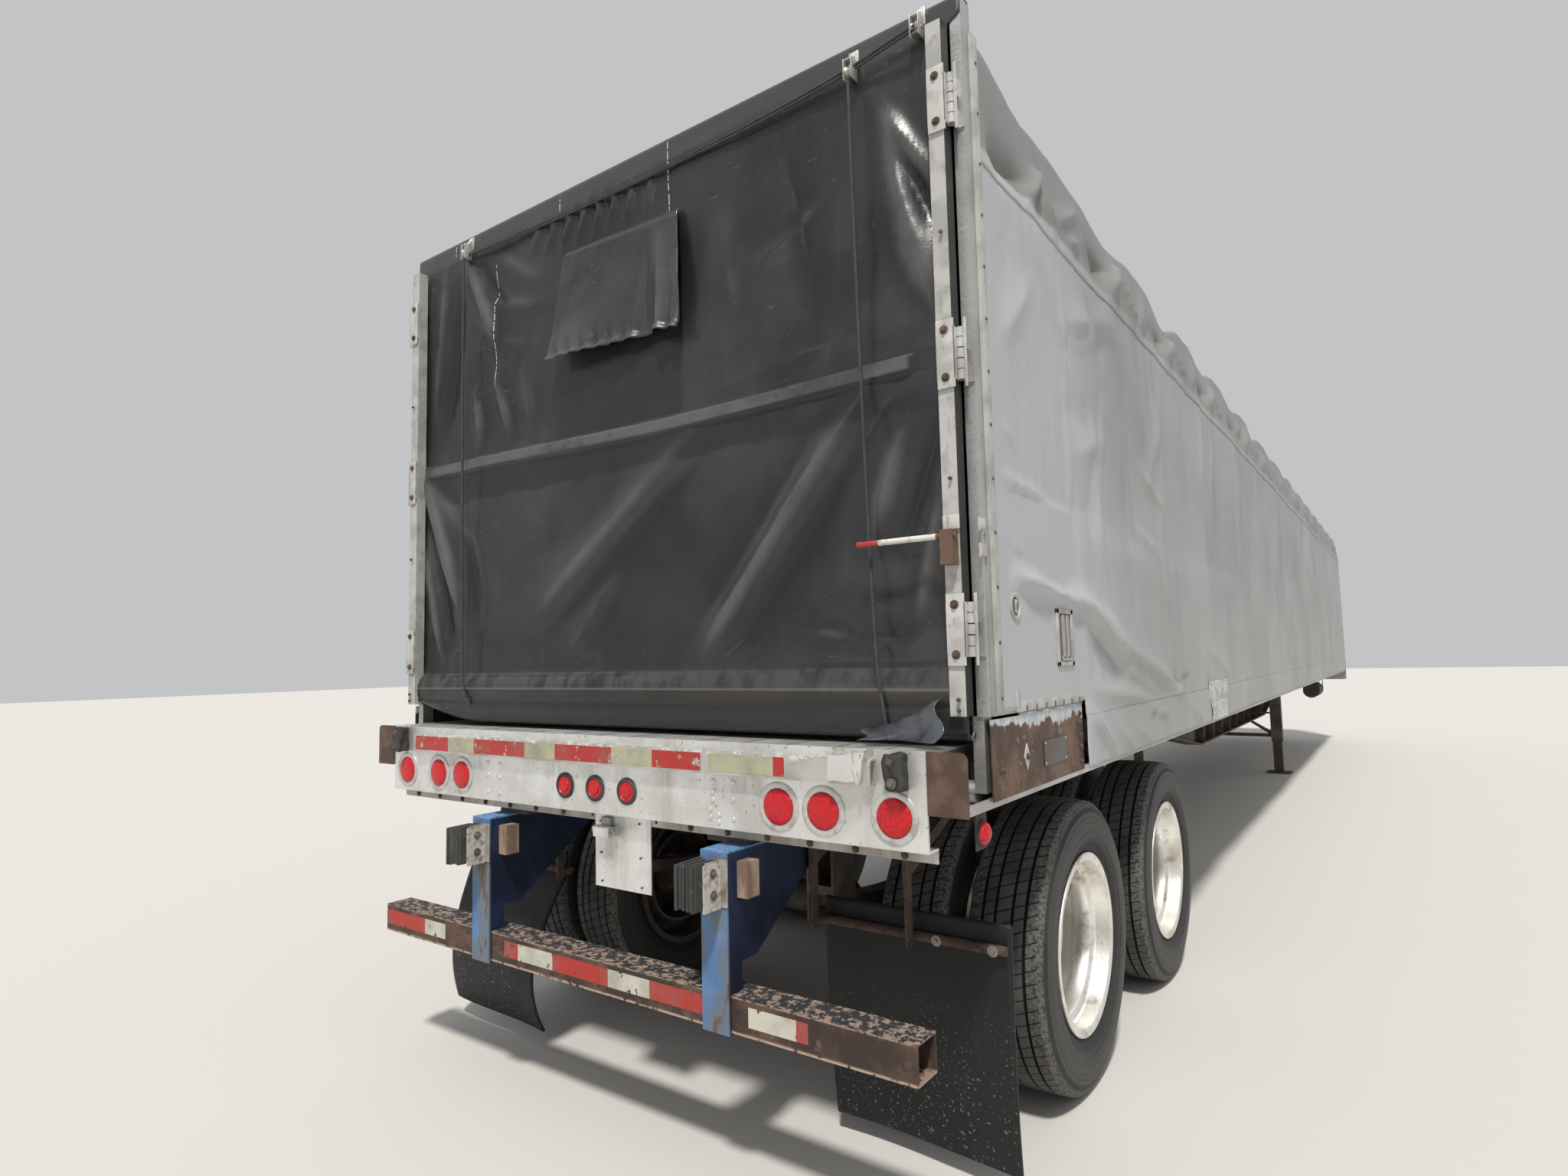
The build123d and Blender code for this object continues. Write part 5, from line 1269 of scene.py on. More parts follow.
# Plates of the torn bracket: two corners, lean in degrees and the axis it leans about
BRACKET_PLATES = [
    ((0.930, -0.041, 1.168), (1.022, -0.036, 1.236), 9, "Z"),
    ((0.925, -0.036, 1.232), (1.030, 0.002, 1.237), -6, "Y"),
    ((1.024, -0.050, 1.160), (1.030, 0.000, 1.250), 14, "Y"),
    ((1.004, -0.047, 1.162), (1.009, -0.004, 1.246), -8, "Y"),
    ((0.930, -0.034, 1.212), (0.935, 0.000, 1.250), 6, "Y"),
]


def crumple(bm, size, scale, seed=0.0):
    """Pushes every point of a bmesh about by smooth noise."""
    for vert in bm.verts:
        at = vert.co * scale + Vector((seed, seed * 0.7, 0))
        vert.co += Vector([noise.noise(at + shift) for shift in APART]) * size


def bent_bracket():
    """Channel end with its flanges torn loose."""
    bm = bmesh.new()
    for low, high, lean, axis in BRACKET_PLATES:
        block(bm, low, high, turn=Matrix.Rotation(math.radians(lean), 4, axis))
    bmesh.ops.subdivide_edges(bm, edges=bm.edges, cuts=6, use_grid_fill=True)
    crumple(bm, 0.006, 30)
    new_piece("bent_bracket", bm, "root", "worn_aluminium")


def corner_pads():
    """Two chewed rubber pads with their bolts."""
    pads, bolts = bmesh.new(), bmesh.new()
    for side in (1, -1):
        mirrored_block(pads, side, 1.088, 1.142, -0.044, 0, 1.154, 1.246, 0.008)
        for height in (1.226, 1.172):
            bolt(bolts, (side * 1.114, -0.043, height), BACKWARDS, 0.013)
    bmesh.ops.subdivide_edges(pads, edges=pads.edges, cuts=5, use_grid_fill=True)
    crumple(pads, 0.009, 38, 3.0)
    new_piece("corner_pads", pads, "root", "black_rubber")
    pad_bolt = cast_iron("pad_bolts", (0.1, 0.09, 0.08))
    new_piece("corner_pad_bolts", bolts, "root", "bright_steel", pad_bolt)


bent_bracket()
corner_pads()

# %% [markdown]
# Each guard upright has a laminated bumper behind it: strips of old tyre rubber held between steel angles.
# Single strips with slightly different sizes look right at once, where one ribbed block never does.

# %% Laminated buffers
BUFFER_SPANS = [(-0.600, -0.516), (0.480, 0.564)]
PLY_COUNT, PLY_GAP, PLY_SHIFT = 7, 0.0012, 0.004
PLY_FOOT, PLY_TOP, ANGLE_FOOT, ANGLE_TOP = 0.803, 0.927, 0.800, 0.930


def buffers():
    """Rubber plies, the angle beside them and its bolts, in place of the plain blocks."""
    plies, angles, bolts = bmesh.new(), bmesh.new(), bmesh.new()
    for left, right in BUFFER_SPANS:
        pitch = (right - left) / PLY_COUNT
        for ply in range(PLY_COUNT):
            start, end = left + ply * pitch + PLY_GAP / 2, left + (ply + 1) * pitch - PLY_GAP / 2
            shift, drop = random.uniform(-PLY_SHIFT, PLY_SHIFT), random.uniform(-PLY_SHIFT, PLY_SHIFT)
            block(plies, (start, -0.150 + shift, PLY_FOOT + drop), (end, -0.056, PLY_TOP + drop), 0.003)
        block(angles, (right, -0.118, ANGLE_FOOT), (right + 0.005, -0.054, ANGLE_TOP), 0.0015)
        block(angles, (right - 0.02, -0.058, ANGLE_FOOT), (right + 0.030, -0.053, ANGLE_TOP), 0.0015)
        for height in (0.838, 0.896):
            bolt(bolts, (right + 0.005, -0.088, height), (1, 0, 0), 0.013)
    crumple(plies, 0.003, 22, 1.0)
    torn = rubber("torn_plies", (0.03, 0.03, 0.03), 0.4, 45)
    angle_zinc = zinc("buffer_angle_finish", (0.52, 0.5, 0.46), 0.6)
    rusty = cast_iron("buffer_bolt_finish", (0.12, 0.09, 0.07))
    new_piece("buffer_plies", plies, "root", "black_rubber", torn, replaces=["rubber_buffers"])
    new_piece("buffer_angles", angles, "root", "bright_steel", angle_zinc)
    new_piece("buffer_bolts", bolts, "root", "rusted_steel", rusty)


buffers()

# %% [markdown]
# The tyres are spun from one section, with four grooves in the tread and shallow rings on the sidewalls.
# Each gets a map that runs round it: first coordinate the angle, second the radius. With it a plain sine
# makes the thin cuts across the tread, and the dust can lie on the shoulder only.

# %% Tyre finish
TYRE_RADIUS = 0.484


def tyre_finish():
    """Black tread with fine cuts, a scuffed shoulder and a dusty sidewall."""
    made = Finish("tyre_tread")
    angle, radius = made.part(0, "UV"), made.part(1, "UV")
    grit = made.noise(90, 5, roughness=0.7)
    patches = made.noise(7, 6)
    cuts = made.wave(angle * 76 + made.part(0) * 60)
    sipes = made.step(cuts, 0.93, 0.965) * made.step(radius, 0.4775, 0.479)
    outer_rib = made.step(made.mark("across"), 0.0752, 0.0762)
    ribs = made.step(radius, 0.4775, 0.480) * (1 - outer_rib)
    grooves = made.step(radius, 0.455, 0.460) * (1 - made.step(radius, 0.4775, 0.480)) * (1 - outer_rib)
    shoulder = made.step(radius, 0.452, 0.462) * outer_rib
    wall = made.step(radius, 0.33, 0.36) * (1 - made.step(radius, 0.43, 0.452))
    base = made.mix(made.step(patches, 0.4, 0.72) * 0.35, (0.02, 0.02, 0.021), (0.055, 0.053, 0.05))
    base = made.mix(ribs * (made.step(patches, 0.3, 0.6) * 0.5 + 0.4), base, (0.105, 0.102, 0.097))
    base = made.mix(shoulder * made.step(grit, 0.34, 0.60) * 0.75, base, (0.185, 0.178, 0.165))
    base = made.mix(grooves, base, (0.006, 0.006, 0.006))
    base = made.mix(wall * made.step(patches, 0.35, 0.6) * 0.25, base, (0.06, 0.057, 0.052))
    rings = made.noise(55, 3, made.node("ShaderNodeCombineXYZ", {}, {"X": radius * 2}))
    base = made.mix(wall * made.step(rings, 0.52, 0.62) * 0.6, base, (0.1, 0.098, 0.094))
    base = made.mix(wall * (1 - made.step(rings, 0.36, 0.46)) * 0.7, base, (0.012, 0.012, 0.013))
    made.colour(made.mix(sipes, base, (0.006, 0.006, 0.006)))
    made.rough(0.62 + patches * 0.2 - wall * 0.16)
    made.bump(grit * (shoulder * 0.9 + 0.25) - sipes * 1.6, 0.003)
    return made.material


# %% Tyres
# Profile of half a tyre, outwards from the middle of its width: distance from the middle, radius
HALF_TREAD = [(0, 0.484), (0.022, 0.484), (0.0235, 0.472), (0.0315, 0.472), (0.033, 0.4838), (0.064, 0.483),
              (0.0655, 0.471), (0.0735, 0.471), (0.075, 0.4825), (0.108, 0.4785), (0.113, 0.474),
              (0.119, 0.463), (0.121, 0.462), (0.1225, 0.456), (0.1275, 0.444), (0.1295, 0.443),
              (0.1325, 0.425), (0.1345, 0.400), (0.1350, 0.385), (0.1335, 0.372), (0.1345, 0.370),
              (0.1340, 0.364), (0.1315, 0.362), (0.1255, 0.338), (0.1240, 0.337), (0.1225, 0.329),
              (0.1205, 0.328), (0.113, 0.309), (0.1085, 0.302), (0.1000, 0.301)]
HALF_LINING = [(0.100, 0.301), (0.108, 0.340), (0.112, 0.385), (0.095, 0.448), (0, 0.458)]


def add_round_map(mesh, middle):
    """Map of a turned mesh about the X axis: angle and radius, without a jump inside a face."""
    layer = mesh.uv_layers.new(name="round")
    for polygon in mesh.polygons:
        first = None
        for loop in polygon.loop_indices:
            offset = mesh.vertices[mesh.loops[loop].vertex_index].co - middle
            angle = math.atan2(offset.z, offset.y)
            if first is None:
                first = angle
            angle += 2 * math.pi * round((first - angle) / (2 * math.pi))
            layer.data[loop].uv = (angle, math.hypot(offset.y, offset.z))


tread = tyre_finish()
nut_finish = zinc("wheel_nuts", (0.42, 0.4, 0.36), 0.5)
OUTER_TYRE, INNER_TYRE, DISC_FACE = 1.084, 0.764, 0.924
# Inner face of the rim: distance outwards from the middle of the outer tyre, radius
BARREL = [(0.118, 0.2995), (0.1205, 0.2985), (0.1215, 0.296), (0.1185, 0.289), (0.114, 0.2835),
          (0.098, 0.2725), (0.072, 0.2705), (0.062, 0.2665), (0.050, 0.2500), (0.030, 0.2455),
          (0.004, 0.2470), (-0.008, 0.2530), (-0.018, 0.2645), (-0.030, 0.2665), (-0.030, 0.2655)]
BARREL_WALL = 0.0028
NUT_COUNT, NUT_CIRCLE, HUB_BOLT_CIRCLE = 10, 0.1425, 0.070
NUT_HEIGHT, STUD_HEIGHT, HUB_HEIGHT = 0.030, 0.044, 0.077


def twin_wheel(name, side, at):
    """Two tyres, the rolled edge and drop centre of the outer rim, and the wheel nuts and hub bolts."""
    body, axis = f"{name}_wheels", (side, 0, 0)
    for which, place in (("outer", OUTER_TYRE), ("inner", INNER_TYRE)):
        bm = bmesh.new()
        section = HALF_TREAD + HALF_LINING[1:]
        closed = section + [(-x, r) for x, r in reversed(section)][1:-1] + section[:1]
        middle = (side * place, at, TYRE_RADIUS)
        turned(bm, closed, middle, axis, 84)
        tyre = new_piece(f"{name}_{which}_tyre", bm, body, "tyre_rubber", tread, 32, [f"{name}_tyres"])
        add_round_map(tyre.data, at_place(middle))
        mark_points(tyre.data, "across", [abs(abs(point.co.x) - place) for point in tyre.data.vertices])
    bm = bmesh.new()
    barrel = BARREL + [(x - 0.001, r + BARREL_WALL) for x, r in reversed(BARREL)] + BARREL[:1]
    turned(bm, barrel, (side * OUTER_TYRE, at, TYRE_RADIUS), axis, 72)
    new_piece(f"{name}_rim_barrel", bm, body, "rim_aluminium", smooth_angle=30)
    bm = bmesh.new()
    for number in range(NUT_COUNT):
        turn = math.radians(360 / NUT_COUNT * number + 9)
        y, z = math.cos(turn), math.sin(turn)
        foot, tip, end = [(side * (DISC_FACE + out), at + NUT_CIRCLE * y, TYRE_RADIUS + NUT_CIRCLE * z)
                          for out in (0, NUT_HEIGHT, STUD_HEIGHT)]
        rod(bm, foot, tip, 0.019, 0.017, 6)
        rod(bm, tip, end, 0.0105, 0.0100, 12)
        if number % 2:
            at_hub = (at + HUB_BOLT_CIRCLE * y, TYRE_RADIUS + HUB_BOLT_CIRCLE * z)
            bolt(bm, (side * (DISC_FACE + HUB_HEIGHT), *at_hub), axis, 0.011)
    new_piece(f"{name}_nuts", bm, body, "hub_iron", nut_finish, 30)


for axle, at in (("rear", 1.15), ("front", 2.37)):
    for word, side in (("right", 1), ("left", -1)):
        twin_wheel(f"{axle}_{word}", side, at)

# %% [markdown]
# The mud flaps are thick rubber hung from rusty bars. The kerb side one is still nearly flat; the road side
# one bulges towards the rear and turns in again at its foot.

# %% Mud flaps
FLAP_AT, FLAP_LOW, FLAP_HIGH, FLAP_INNER, FLAP_WIDTH = 0.404, 0.055, 0.735, 0.619, 0.610
FLAP_BOLTS = [(side * x, 0.3715, 0.667) for side in (1, -1) for x in (1.013, 1.184)]


def mud_flap(name, side, curl, flare, bulge):
    """Sheet hung from its top edge. The curl grows towards the foot, the flare towards its outer corner, and
    the bulge pushes its middle to the rear."""
    mesh, u, v = grid_sheet(name, 40, 48)
    x = side * (FLAP_INNER + FLAP_WIDTH * u)
    z = FLAP_LOW + (FLAP_HIGH - FLAP_LOW) * v
    hang = np.clip((0.62 - z) / 0.56, 0, 1)
    d = FLAP_AT + curl * hang ** 2 + flare * hang * np.clip(u - 0.55, 0, 1) ** 2
    d += 0.004 * ripple(x, z, z * 0, 3.0) * hang + 0.010 * hang * np.sin(u * 5.0 + 0.5)
    below = np.clip((0.65 - z) / 0.6, 0, 1)
    d -= bulge * (1 - 0.43 * u) * np.sin(np.pi * below / 1.3)
    z = z + 0.25 * curl * hang ** 3 + 0.15 * bulge * below ** 2
    lay(mesh, np.column_stack((x, d + SILL, z)), x, z)
    sheet = cloth_piece(mesh, flap_rubber, 0.009, "root", ["mud_flaps"])


def flap_finish():
    """Black rubber, speckled with grit thrown up by the tyres."""
    made = Finish("flap_rubber")
    patches = made.noise(3, 6)
    specks = made.noise(110, 3, roughness=0.6)
    low = 1 - made.step(made.part(2), 0.15, 0.6)
    base = made.mix(made.step(patches, 0.42, 0.7) * 0.4, (0.0045, 0.0048, 0.0056), (0.012, 0.0115, 0.011))
    made.colour(made.mix(made.step(specks, 0.63, 0.67) * low, base, (0.2, 0.2, 0.19)))
    made.rough(0.5 + patches * 0.3)
    made.bump(specks * 0.25 + patches * 0.5, 0.002)
    return made.material


flap_rubber = flap_finish()
mud_flap("mud_flap_right", 1, 0.035, -0.10, 0)
mud_flap("mud_flap_left", -1, 0, 0, 0.175)


def flap_bolts():
    """Two bolts with broad washers on each bar."""
    bm = bmesh.new()
    for x, d, z in FLAP_BOLTS:
        turned(bm, [(0, 0), (0, 0.016), (0.002, 0.0155), (0.0025, 0)], (x, d + 0.002, z), BACKWARDS, 20)
        bolt(bm, (x, d, z), BACKWARDS, 0.011, washer=False)
    new_piece("flap_bolts", bm, "root", "bright_steel", zinc("flap_bolt_finish", (0.3, 0.29, 0.27), 0.5))


flap_bolts()

# %% [markdown]
# Along the rear edge of the cover everything is plate and bolts: a clamp strip that holds the tarpaulin, the
# hinge leaves of the posts, and on the side panels a ring latch, a sunk handle and the notched strip from
# which the kick plate hangs. Both sides are made by one loop, mirrored in X.

# %% Finishes for the hinged parts
def white_paint(name, tone=0.62, rust=0.35, dark_outer_side=False):
    """Old white paint on aluminium: grey scratches, brown runs under the bolts. On a post its outer side face
    is made near black."""
    made = Finish(name)
    patches = made.noise(12, 6)
    scratches = made.noise(40, 5, made.stretched((1, 1, 0.15)), roughness=0.65)
    spots = made.noise(24, 6, roughness=0.7)
    clean, dull = (tone, tone * 0.99, tone * 0.95), (tone * 0.74, tone * 0.73, tone * 0.7)
    base = made.mix(made.step(patches, 0.42, 0.62), clean, dull)
    base = made.mix(made.step(scratches, 0.58, 0.66) * 0.6, base, (0.28, 0.27, 0.25))
    base = made.mix(made.step(spots, 0.62, 0.68) * rust, base, (0.24, 0.13, 0.08))
    if dark_outer_side:
        # The post's outer side face is made near black
        outer_side = made.step(made.size_of(made.part(0)), 1.2585, 1.2595)
        base = made.mix(outer_side, base, (0.012, 0.012, 0.013))
    made.colour(base)
    made.rough(0.45 + patches * 0.2)
    made.bump(patches * 0.5 + scratches * 0.3, 0.002)
    return made.material


def kick_plate_finish():
    """Brown steel with the remains of pale paint along its top edge."""
    made = Finish("kick_plate", metallic=0.3)
    patches = made.noise(5, 7, roughness=0.62)
    grain = made.noise(20, 7, made.stretched((1, 1, 0.6)), roughness=0.72)
    height = made.part(2)
    base = made.mix(made.step(patches, 0.4, 0.6), (0.085, 0.05, 0.034), (0.19, 0.115, 0.078))
    base = made.mix(made.step(grain, 0.52, 0.62) * 0.75, base, (0.05, 0.035, 0.028))
    base = made.mix(made.step(made.noise(30, 5), 0.63, 0.7) * 0.5, base, (0.42, 0.4, 0.38))
    torn = made.step(height + (patches - 0.5) * 0.16 + (grain - 0.5) * 0.08, 1.285, 1.292)
    paint = made.mix(made.step(grain, 0.45, 0.6), (0.42, 0.46, 0.5), (0.6, 0.61, 0.6))
    made.colour(made.mix(torn, base, paint))
    made.rough(0.42 + patches * 0.35)
    made.metal(0.35 - torn * 0.3)
    made.bump(grain * 0.6 + patches * 0.4 + torn * 0.4, 0.003)
    return made.material


def latch_finish():
    """White rod with a red tip, and the brown hook that holds it."""
    made = Finish("latch_rod")
    along = made.part(0)
    grime = made.noise(40, 5)
    base = made.mix(made.step(along, 1.035, 1.037), (0.42, 0.03, 0.03), (0.68, 0.66, 0.62))
    base = made.mix(made.step(along, 1.204, 1.206), base, (0.13, 0.075, 0.05))
    made.colour(made.mix(made.step(grime, 0.56, 0.66) * 0.5, base, (0.2, 0.15, 0.11)))
    made.rough(0.5 + grime * 0.2)
    made.bump(grime, 0.001)
    return made.material


post_paint = white_paint("post_paint", 0.46, 0.4, True)
leaf_paint = white_paint("hinge_leaf_paint", 0.54, 0.5)
cream = white_paint("cream_strip_paint", 0.47, 0.2)
brown_bolts = cast_iron("rusty_bolts", (0.085, 0.052, 0.037))
# Dark parts of painted shade for the latch's hole and slot, the handle's recess and the strip's notches
hole_shade = cast_iron("latch_recess", (0.09, 0.08, 0.07))
blank_plate = zinc("data_plate", (0.14, 0.14, 0.14), 0.5)
plate_rust = kick_plate_finish()
for word in ("right", "left"):
    refinish(f"post_{word}", post_paint)
    refinish(f"kick_plate_{word}", plate_rust)
refinish("latch_rod", latch_finish())
refinish("track_end_plates", cast_iron("end_plate_paint", (0.085, 0.05, 0.036)))

# %% Hinges
HINGE_HEIGHTS = (1.55, 2.27, 2.97)
POST_BOLT_HEIGHTS = (1.372, 1.345, 1.94, 2.60)
HINGE_X, HINGE_AT, LEAF_HALF = 1.273, 0.116, 0.092
KNUCKLES, KNUCKLE_PITCH = 5, 0.0285
KNUCKLE = [(-0.0125, 0.0085), (-0.0125, 0.0120), (0.0125, 0.0120), (0.0125, 0.0085), (-0.0125, 0.0085)]


def hinges(side, word):
    """Leaves on the post and on the frame, knuckle grooves, and the bolts."""
    post_leaves, frame_leaves, post_bolts = bmesh.new(), bmesh.new(), bmesh.new()
    for height in HINGE_HEIGHTS:
        low, high = height - LEAF_HALF, height + LEAF_HALF
        mirrored_block(post_leaves, side, 1.216, 1.2665, 0.0885, 0.092, low, high, 0.001)
        mirrored_block(post_leaves, side, 1.2635, 1.2665, 0.0885, 0.116, low + 0.022, high - 0.022, 0.001)
        mirrored_block(frame_leaves, side, 1.2865, 1.2945, 0.1045, 0.1075, low, high, 0.001)
        for number in range(KNUCKLES):
            place = (side * HINGE_X, HINGE_AT, height + (number - KNUCKLES // 2) * KNUCKLE_PITCH)
            turned(frame_leaves if number % 2 else post_leaves, KNUCKLE, place, (0, 0, 1), 16)
        for rise in (-0.064, 0.064):
            bolt(post_bolts, (side * 1.240, 0.0885, height + rise), BACKWARDS, 0.011)
    for height in POST_BOLT_HEIGHTS:
        bolt(post_bolts, (side * 1.241, 0.0915, height), BACKWARDS, 0.009, washer=False)
    new_piece(f"post_leaves_{word}", post_leaves, f"post_{word}", "frame_aluminium", leaf_paint)
    new_piece(f"frame_leaves_{word}", frame_leaves, "sliding_frame", "frame_aluminium", leaf_paint)
    new_piece(f"post_bolts_{word}", post_bolts, f"post_{word}", "rusted_steel", brown_bolts)


# %% Clamp strip, latch, handle and notched strip on the side of the frame
STRIP_SCREWS = np.arange(1.37, 3.18, 0.145)
STRIP_FOOT, STRIP_TOP, STRIP_FACE = 1.332, 3.190, 1.3075
PANEL_FACE = 1.3035
LATCH_BEZEL = [(-0.002, 0.025), (-0.002, 0.038), (0.003, 0.0375), (0.0048, 0.034), (0.003, 0.027),
               (-0.002, 0.025)]
# Bars of the sunk handle: first and last place ahead of the sill, lowest and highest point
HANDLE_FRAME = [(0.672, 0.824, 1.606, 1.620), (0.672, 0.824, 1.444, 1.458), (0.672, 0.692, 1.444, 1.620),
                (0.804, 0.824, 1.444, 1.620)]
HANDLE_GRIP = [(0.716, 0.740, 1.468, 1.602), (0.756, 0.780, 1.468, 1.602), (0.712, 0.788, 1.460, 1.474)]


def frame_side(side, word):
    """What is fixed to the side of the sliding frame."""
    pale, screws, dark, handle = bmesh.new(), bmesh.new(), bmesh.new(), bmesh.new()
    outwards = (side, 0, 0)
    mirrored_block(pale, side, 1.2955, STRIP_FACE, 0.194, 0.199, STRIP_FOOT, STRIP_TOP)
    mirrored_block(pale, side, 1.3045, STRIP_FACE, 0.199, 0.226, STRIP_FOOT, STRIP_TOP, 0.001)
    for height in STRIP_SCREWS:
        rivet(screws, (side * STRIP_FACE, 0.212, height), outwards, 0.0055)
    # Ring latch: a dished bezel round a slotted bar, with a dark disc and strip of painted shade for its hole
    # and slot
    latch = (side * PANEL_FACE, 0.342, 1.615)
    turned(pale, LATCH_BEZEL, latch, outwards)
    turned(dark, [(-0.002, 0), (-0.002, 0.026), (0, 0.026), (0.0002, 0)], latch, outwards)
    mirrored_block(pale, side, PANEL_FACE, 1.3085, 0.334, 0.350, 1.596, 1.634, 0.003)
    mirrored_block(dark, side, 1.308, 1.3088, 0.340, 0.344, 1.606, 1.624)
    # Sunk handle: a pale frame, a dark sheet of painted shade for the recess, and the grip that stands in it
    mirrored_block(dark, side, PANEL_FACE - 0.001, PANEL_FACE + 0.0005, 0.682, 0.814, 1.452, 1.612)
    for bar in HANDLE_FRAME:
        mirrored_block(pale, side, PANEL_FACE - 0.001, PANEL_FACE + 0.0045, *bar, 0.001)
    for bar in HANDLE_GRIP:
        mirrored_block(handle, side, PANEL_FACE, PANEL_FACE + 0.006, *bar, 0.0015)
    # Notched strip over the kick plate, its notches dark blocks of painted shade
    mirrored_block(pale, side, PANEL_FACE - 0.003, PANEL_FACE + 0.001, 0.322, 0.890, 1.327, 1.356, 0.0008)
    mirrored_block(pale, side, PANEL_FACE - 0.003, PANEL_FACE + 0.002, 0.318, 0.352, 1.340, 1.386, 0.0008)
    for at in np.arange(0.392, 0.870, 0.078):
        mirrored_block(dark, side, PANEL_FACE - 0.001, PANEL_FACE + 0.0016, at, at + 0.010, 1.326, 1.343)
    new_piece(f"frame_strips_{word}", pale, "sliding_frame", "frame_aluminium", cream)
    new_piece(f"strip_screws_{word}", screws, "sliding_frame", "rusted_steel", brown_bolts)
    new_piece(f"latch_recess_{word}", dark, "sliding_frame", "rusted_steel", hole_shade)
    new_piece(f"sunk_handle_{word}", handle, "sliding_frame", "bright_steel")


# %% Fittings on the kick plates
KICK_FACE = 1.300
STRIKER_AT, STRIKER_HEIGHT, STRIKER_FACE = 0.388, 1.203, KICK_FACE + 0.003
DIAMOND = [(0, 0.036), (0.020, 0), (0, -0.036), (-0.020, 0)]
PLATE_REAR, PLATE_FRONT, PLATE_LOW, PLATE_HIGH, PLATE_INSET = 0.528, 0.722, 1.160, 1.234, 0.008


def kick_plate_fittings(side, word):
    """Diamond striker, blank data plate and the column of bolts."""
    pale, plate, bolts = bmesh.new(), bmesh.new(), bmesh.new()
    body, outwards = f"kick_plate_{word}", (side, 0, 0)
    back, front = [[pale.verts.new(at_place((side * x, STRIKER_AT + along, STRIKER_HEIGHT + rise)))
                    for along, rise in DIAMOND] for x in (KICK_FACE - 0.0005, STRIKER_FACE)]
    for ring in (back, front):
        pale.faces.new(ring)
    for k in range(len(DIAMOND)):
        pale.faces.new((back[k], back[k - 1], front[k - 1], front[k]))
    bolt(bolts, (side * STRIKER_FACE, STRIKER_AT, STRIKER_HEIGHT), outwards, 0.009)
    bolt(bolts, (side * KICK_FACE, 0.215, 1.185), outwards, 0.013)
    for height in (1.290, 1.262, 1.222, 1.186, 1.140):
        bolt(bolts, (side * KICK_FACE, 0.868, height), outwards, 0.009)
    mirrored_block(plate, side, KICK_FACE - 0.0005, KICK_FACE + 0.002, PLATE_REAR, PLATE_FRONT, PLATE_LOW,
                   PLATE_HIGH, 0.0008)
    for z in (PLATE_HIGH - PLATE_INSET, PLATE_LOW + PLATE_INSET):
        for d in (PLATE_REAR + PLATE_INSET, PLATE_FRONT - PLATE_INSET):
            rivet(pale, (side * (KICK_FACE + 0.002), d, z), outwards, 0.004)
    new_piece(f"striker_{word}", pale, body, "frame_aluminium", cream)
    new_piece(f"data_plate_{word}", plate, body, "bright_steel", blank_plate)
    new_piece(f"kick_bolts_{word}", bolts, body, "rusted_steel", brown_bolts)


for side, word in ((1, "right"), (-1, "left")):
    hinges(side, word)
    frame_side(side, word)
    kick_plate_fittings(side, word)


# %% Latch plates beside the rod
def latch_plates():
    """White plate above the hook on the post, and the torn guide on the frame."""
    plate, guide = bmesh.new(), bmesh.new()
    block(plate, (1.216, 0.088, 1.808), (1.262, 0.092, 1.846), 0.001)
    new_piece("hook_plate", plate, "post_right", "frame_aluminium", leaf_paint)
    for low, high in ((1.806, 1.836), (1.738, 1.768)):
        block(guide, (1.2985, 0.124, low), (1.3015, 0.166, high), 0.0008)
        block(guide, (1.2945, 0.152, low), (1.3015, 0.166, high), 0.0008)
        block(guide, (1.2985, 0.122, low - 0.004), (1.3035, 0.127, high + 0.002), 0.0008)
    bmesh.ops.subdivide_edges(guide, edges=guide.edges, cuts=2, use_grid_fill=True)
    crumple(guide, 0.0012, 60, 5.0)
    new_piece("rod_guide", guide, "sliding_frame", "frame_aluminium", leaf_paint)


latch_plates()


# %% Rope blocks
BLOCK_AT = 0.118
BLOCK_PLACES = [(LEFT_ROPE, 3.197), (RIGHT_ROPE, 3.182), (CORNER_BLOCK, 3.215)]
# Profile of the grooved wheel: distance along its axle, radius
SHEAVE = [(-0.0105, 0), (-0.0105, 0.018), (-0.004, 0.0135), (0.004, 0.0135), (0.0105, 0.018), (0.0105, 0)]


def rope_blocks():
    """Two cheeks, a grooved wheel and a bracket over each rope."""
    cheeks, wheels = bmesh.new(), bmesh.new()
    at = BLOCK_AT
    for x, z in BLOCK_PLACES:
        for left in (x - 0.014, x + 0.012):
            block(cheeks, (left, at - 0.020, z - 0.030), (left + 0.002, at + 0.016, z + 0.034), 0.0008)
        turned(wheels, SHEAVE, (x, at, z), (1, 0, 0), 24)
        rod(wheels, (x - 0.017, at, z), (x + 0.017, at, z), 0.0045, sides=10)
        block(cheeks, (x - 0.014, at - 0.014, z + 0.032), (x + 0.014, at + 0.012, z + 0.036), 0.001)
        rod(cheeks, (x, at, z + 0.034), (x, at + 0.022, z + 0.064), 0.005, sides=10)
        block(cheeks, (x - 0.016, 0.139, z + 0.020), (x + 0.016, 0.1455, z + 0.074), 0.001)
    pale = zinc("block_cheek_finish", (0.66, 0.65, 0.62), 0.3)
    new_piece("block_cheeks", cheeks, "sliding_frame", "bright_steel", pale, replaces=["pulleys"])
    new_piece("block_wheels", wheels, "sliding_frame", "bright_steel")


rope_blocks()

# %% [markdown]
# Two scraps of sheet belong to this trailer's history: a shiny patch glued low on the tarpaulin, and a torn
# piece of clear film caught under the curtain's kerb side corner.

# %% Patch on the tarpaulin
# Strips of the patch: name, first and last place ahead of the sill, lowest and highest point, distance proud
PATCH_STRIPS = [("patch_upper", 2.946, 3.500, 1.205, 1.320, 0.0035),
                ("patch_lower", 2.990, 3.430, 1.118, 1.215, 0.0065)]


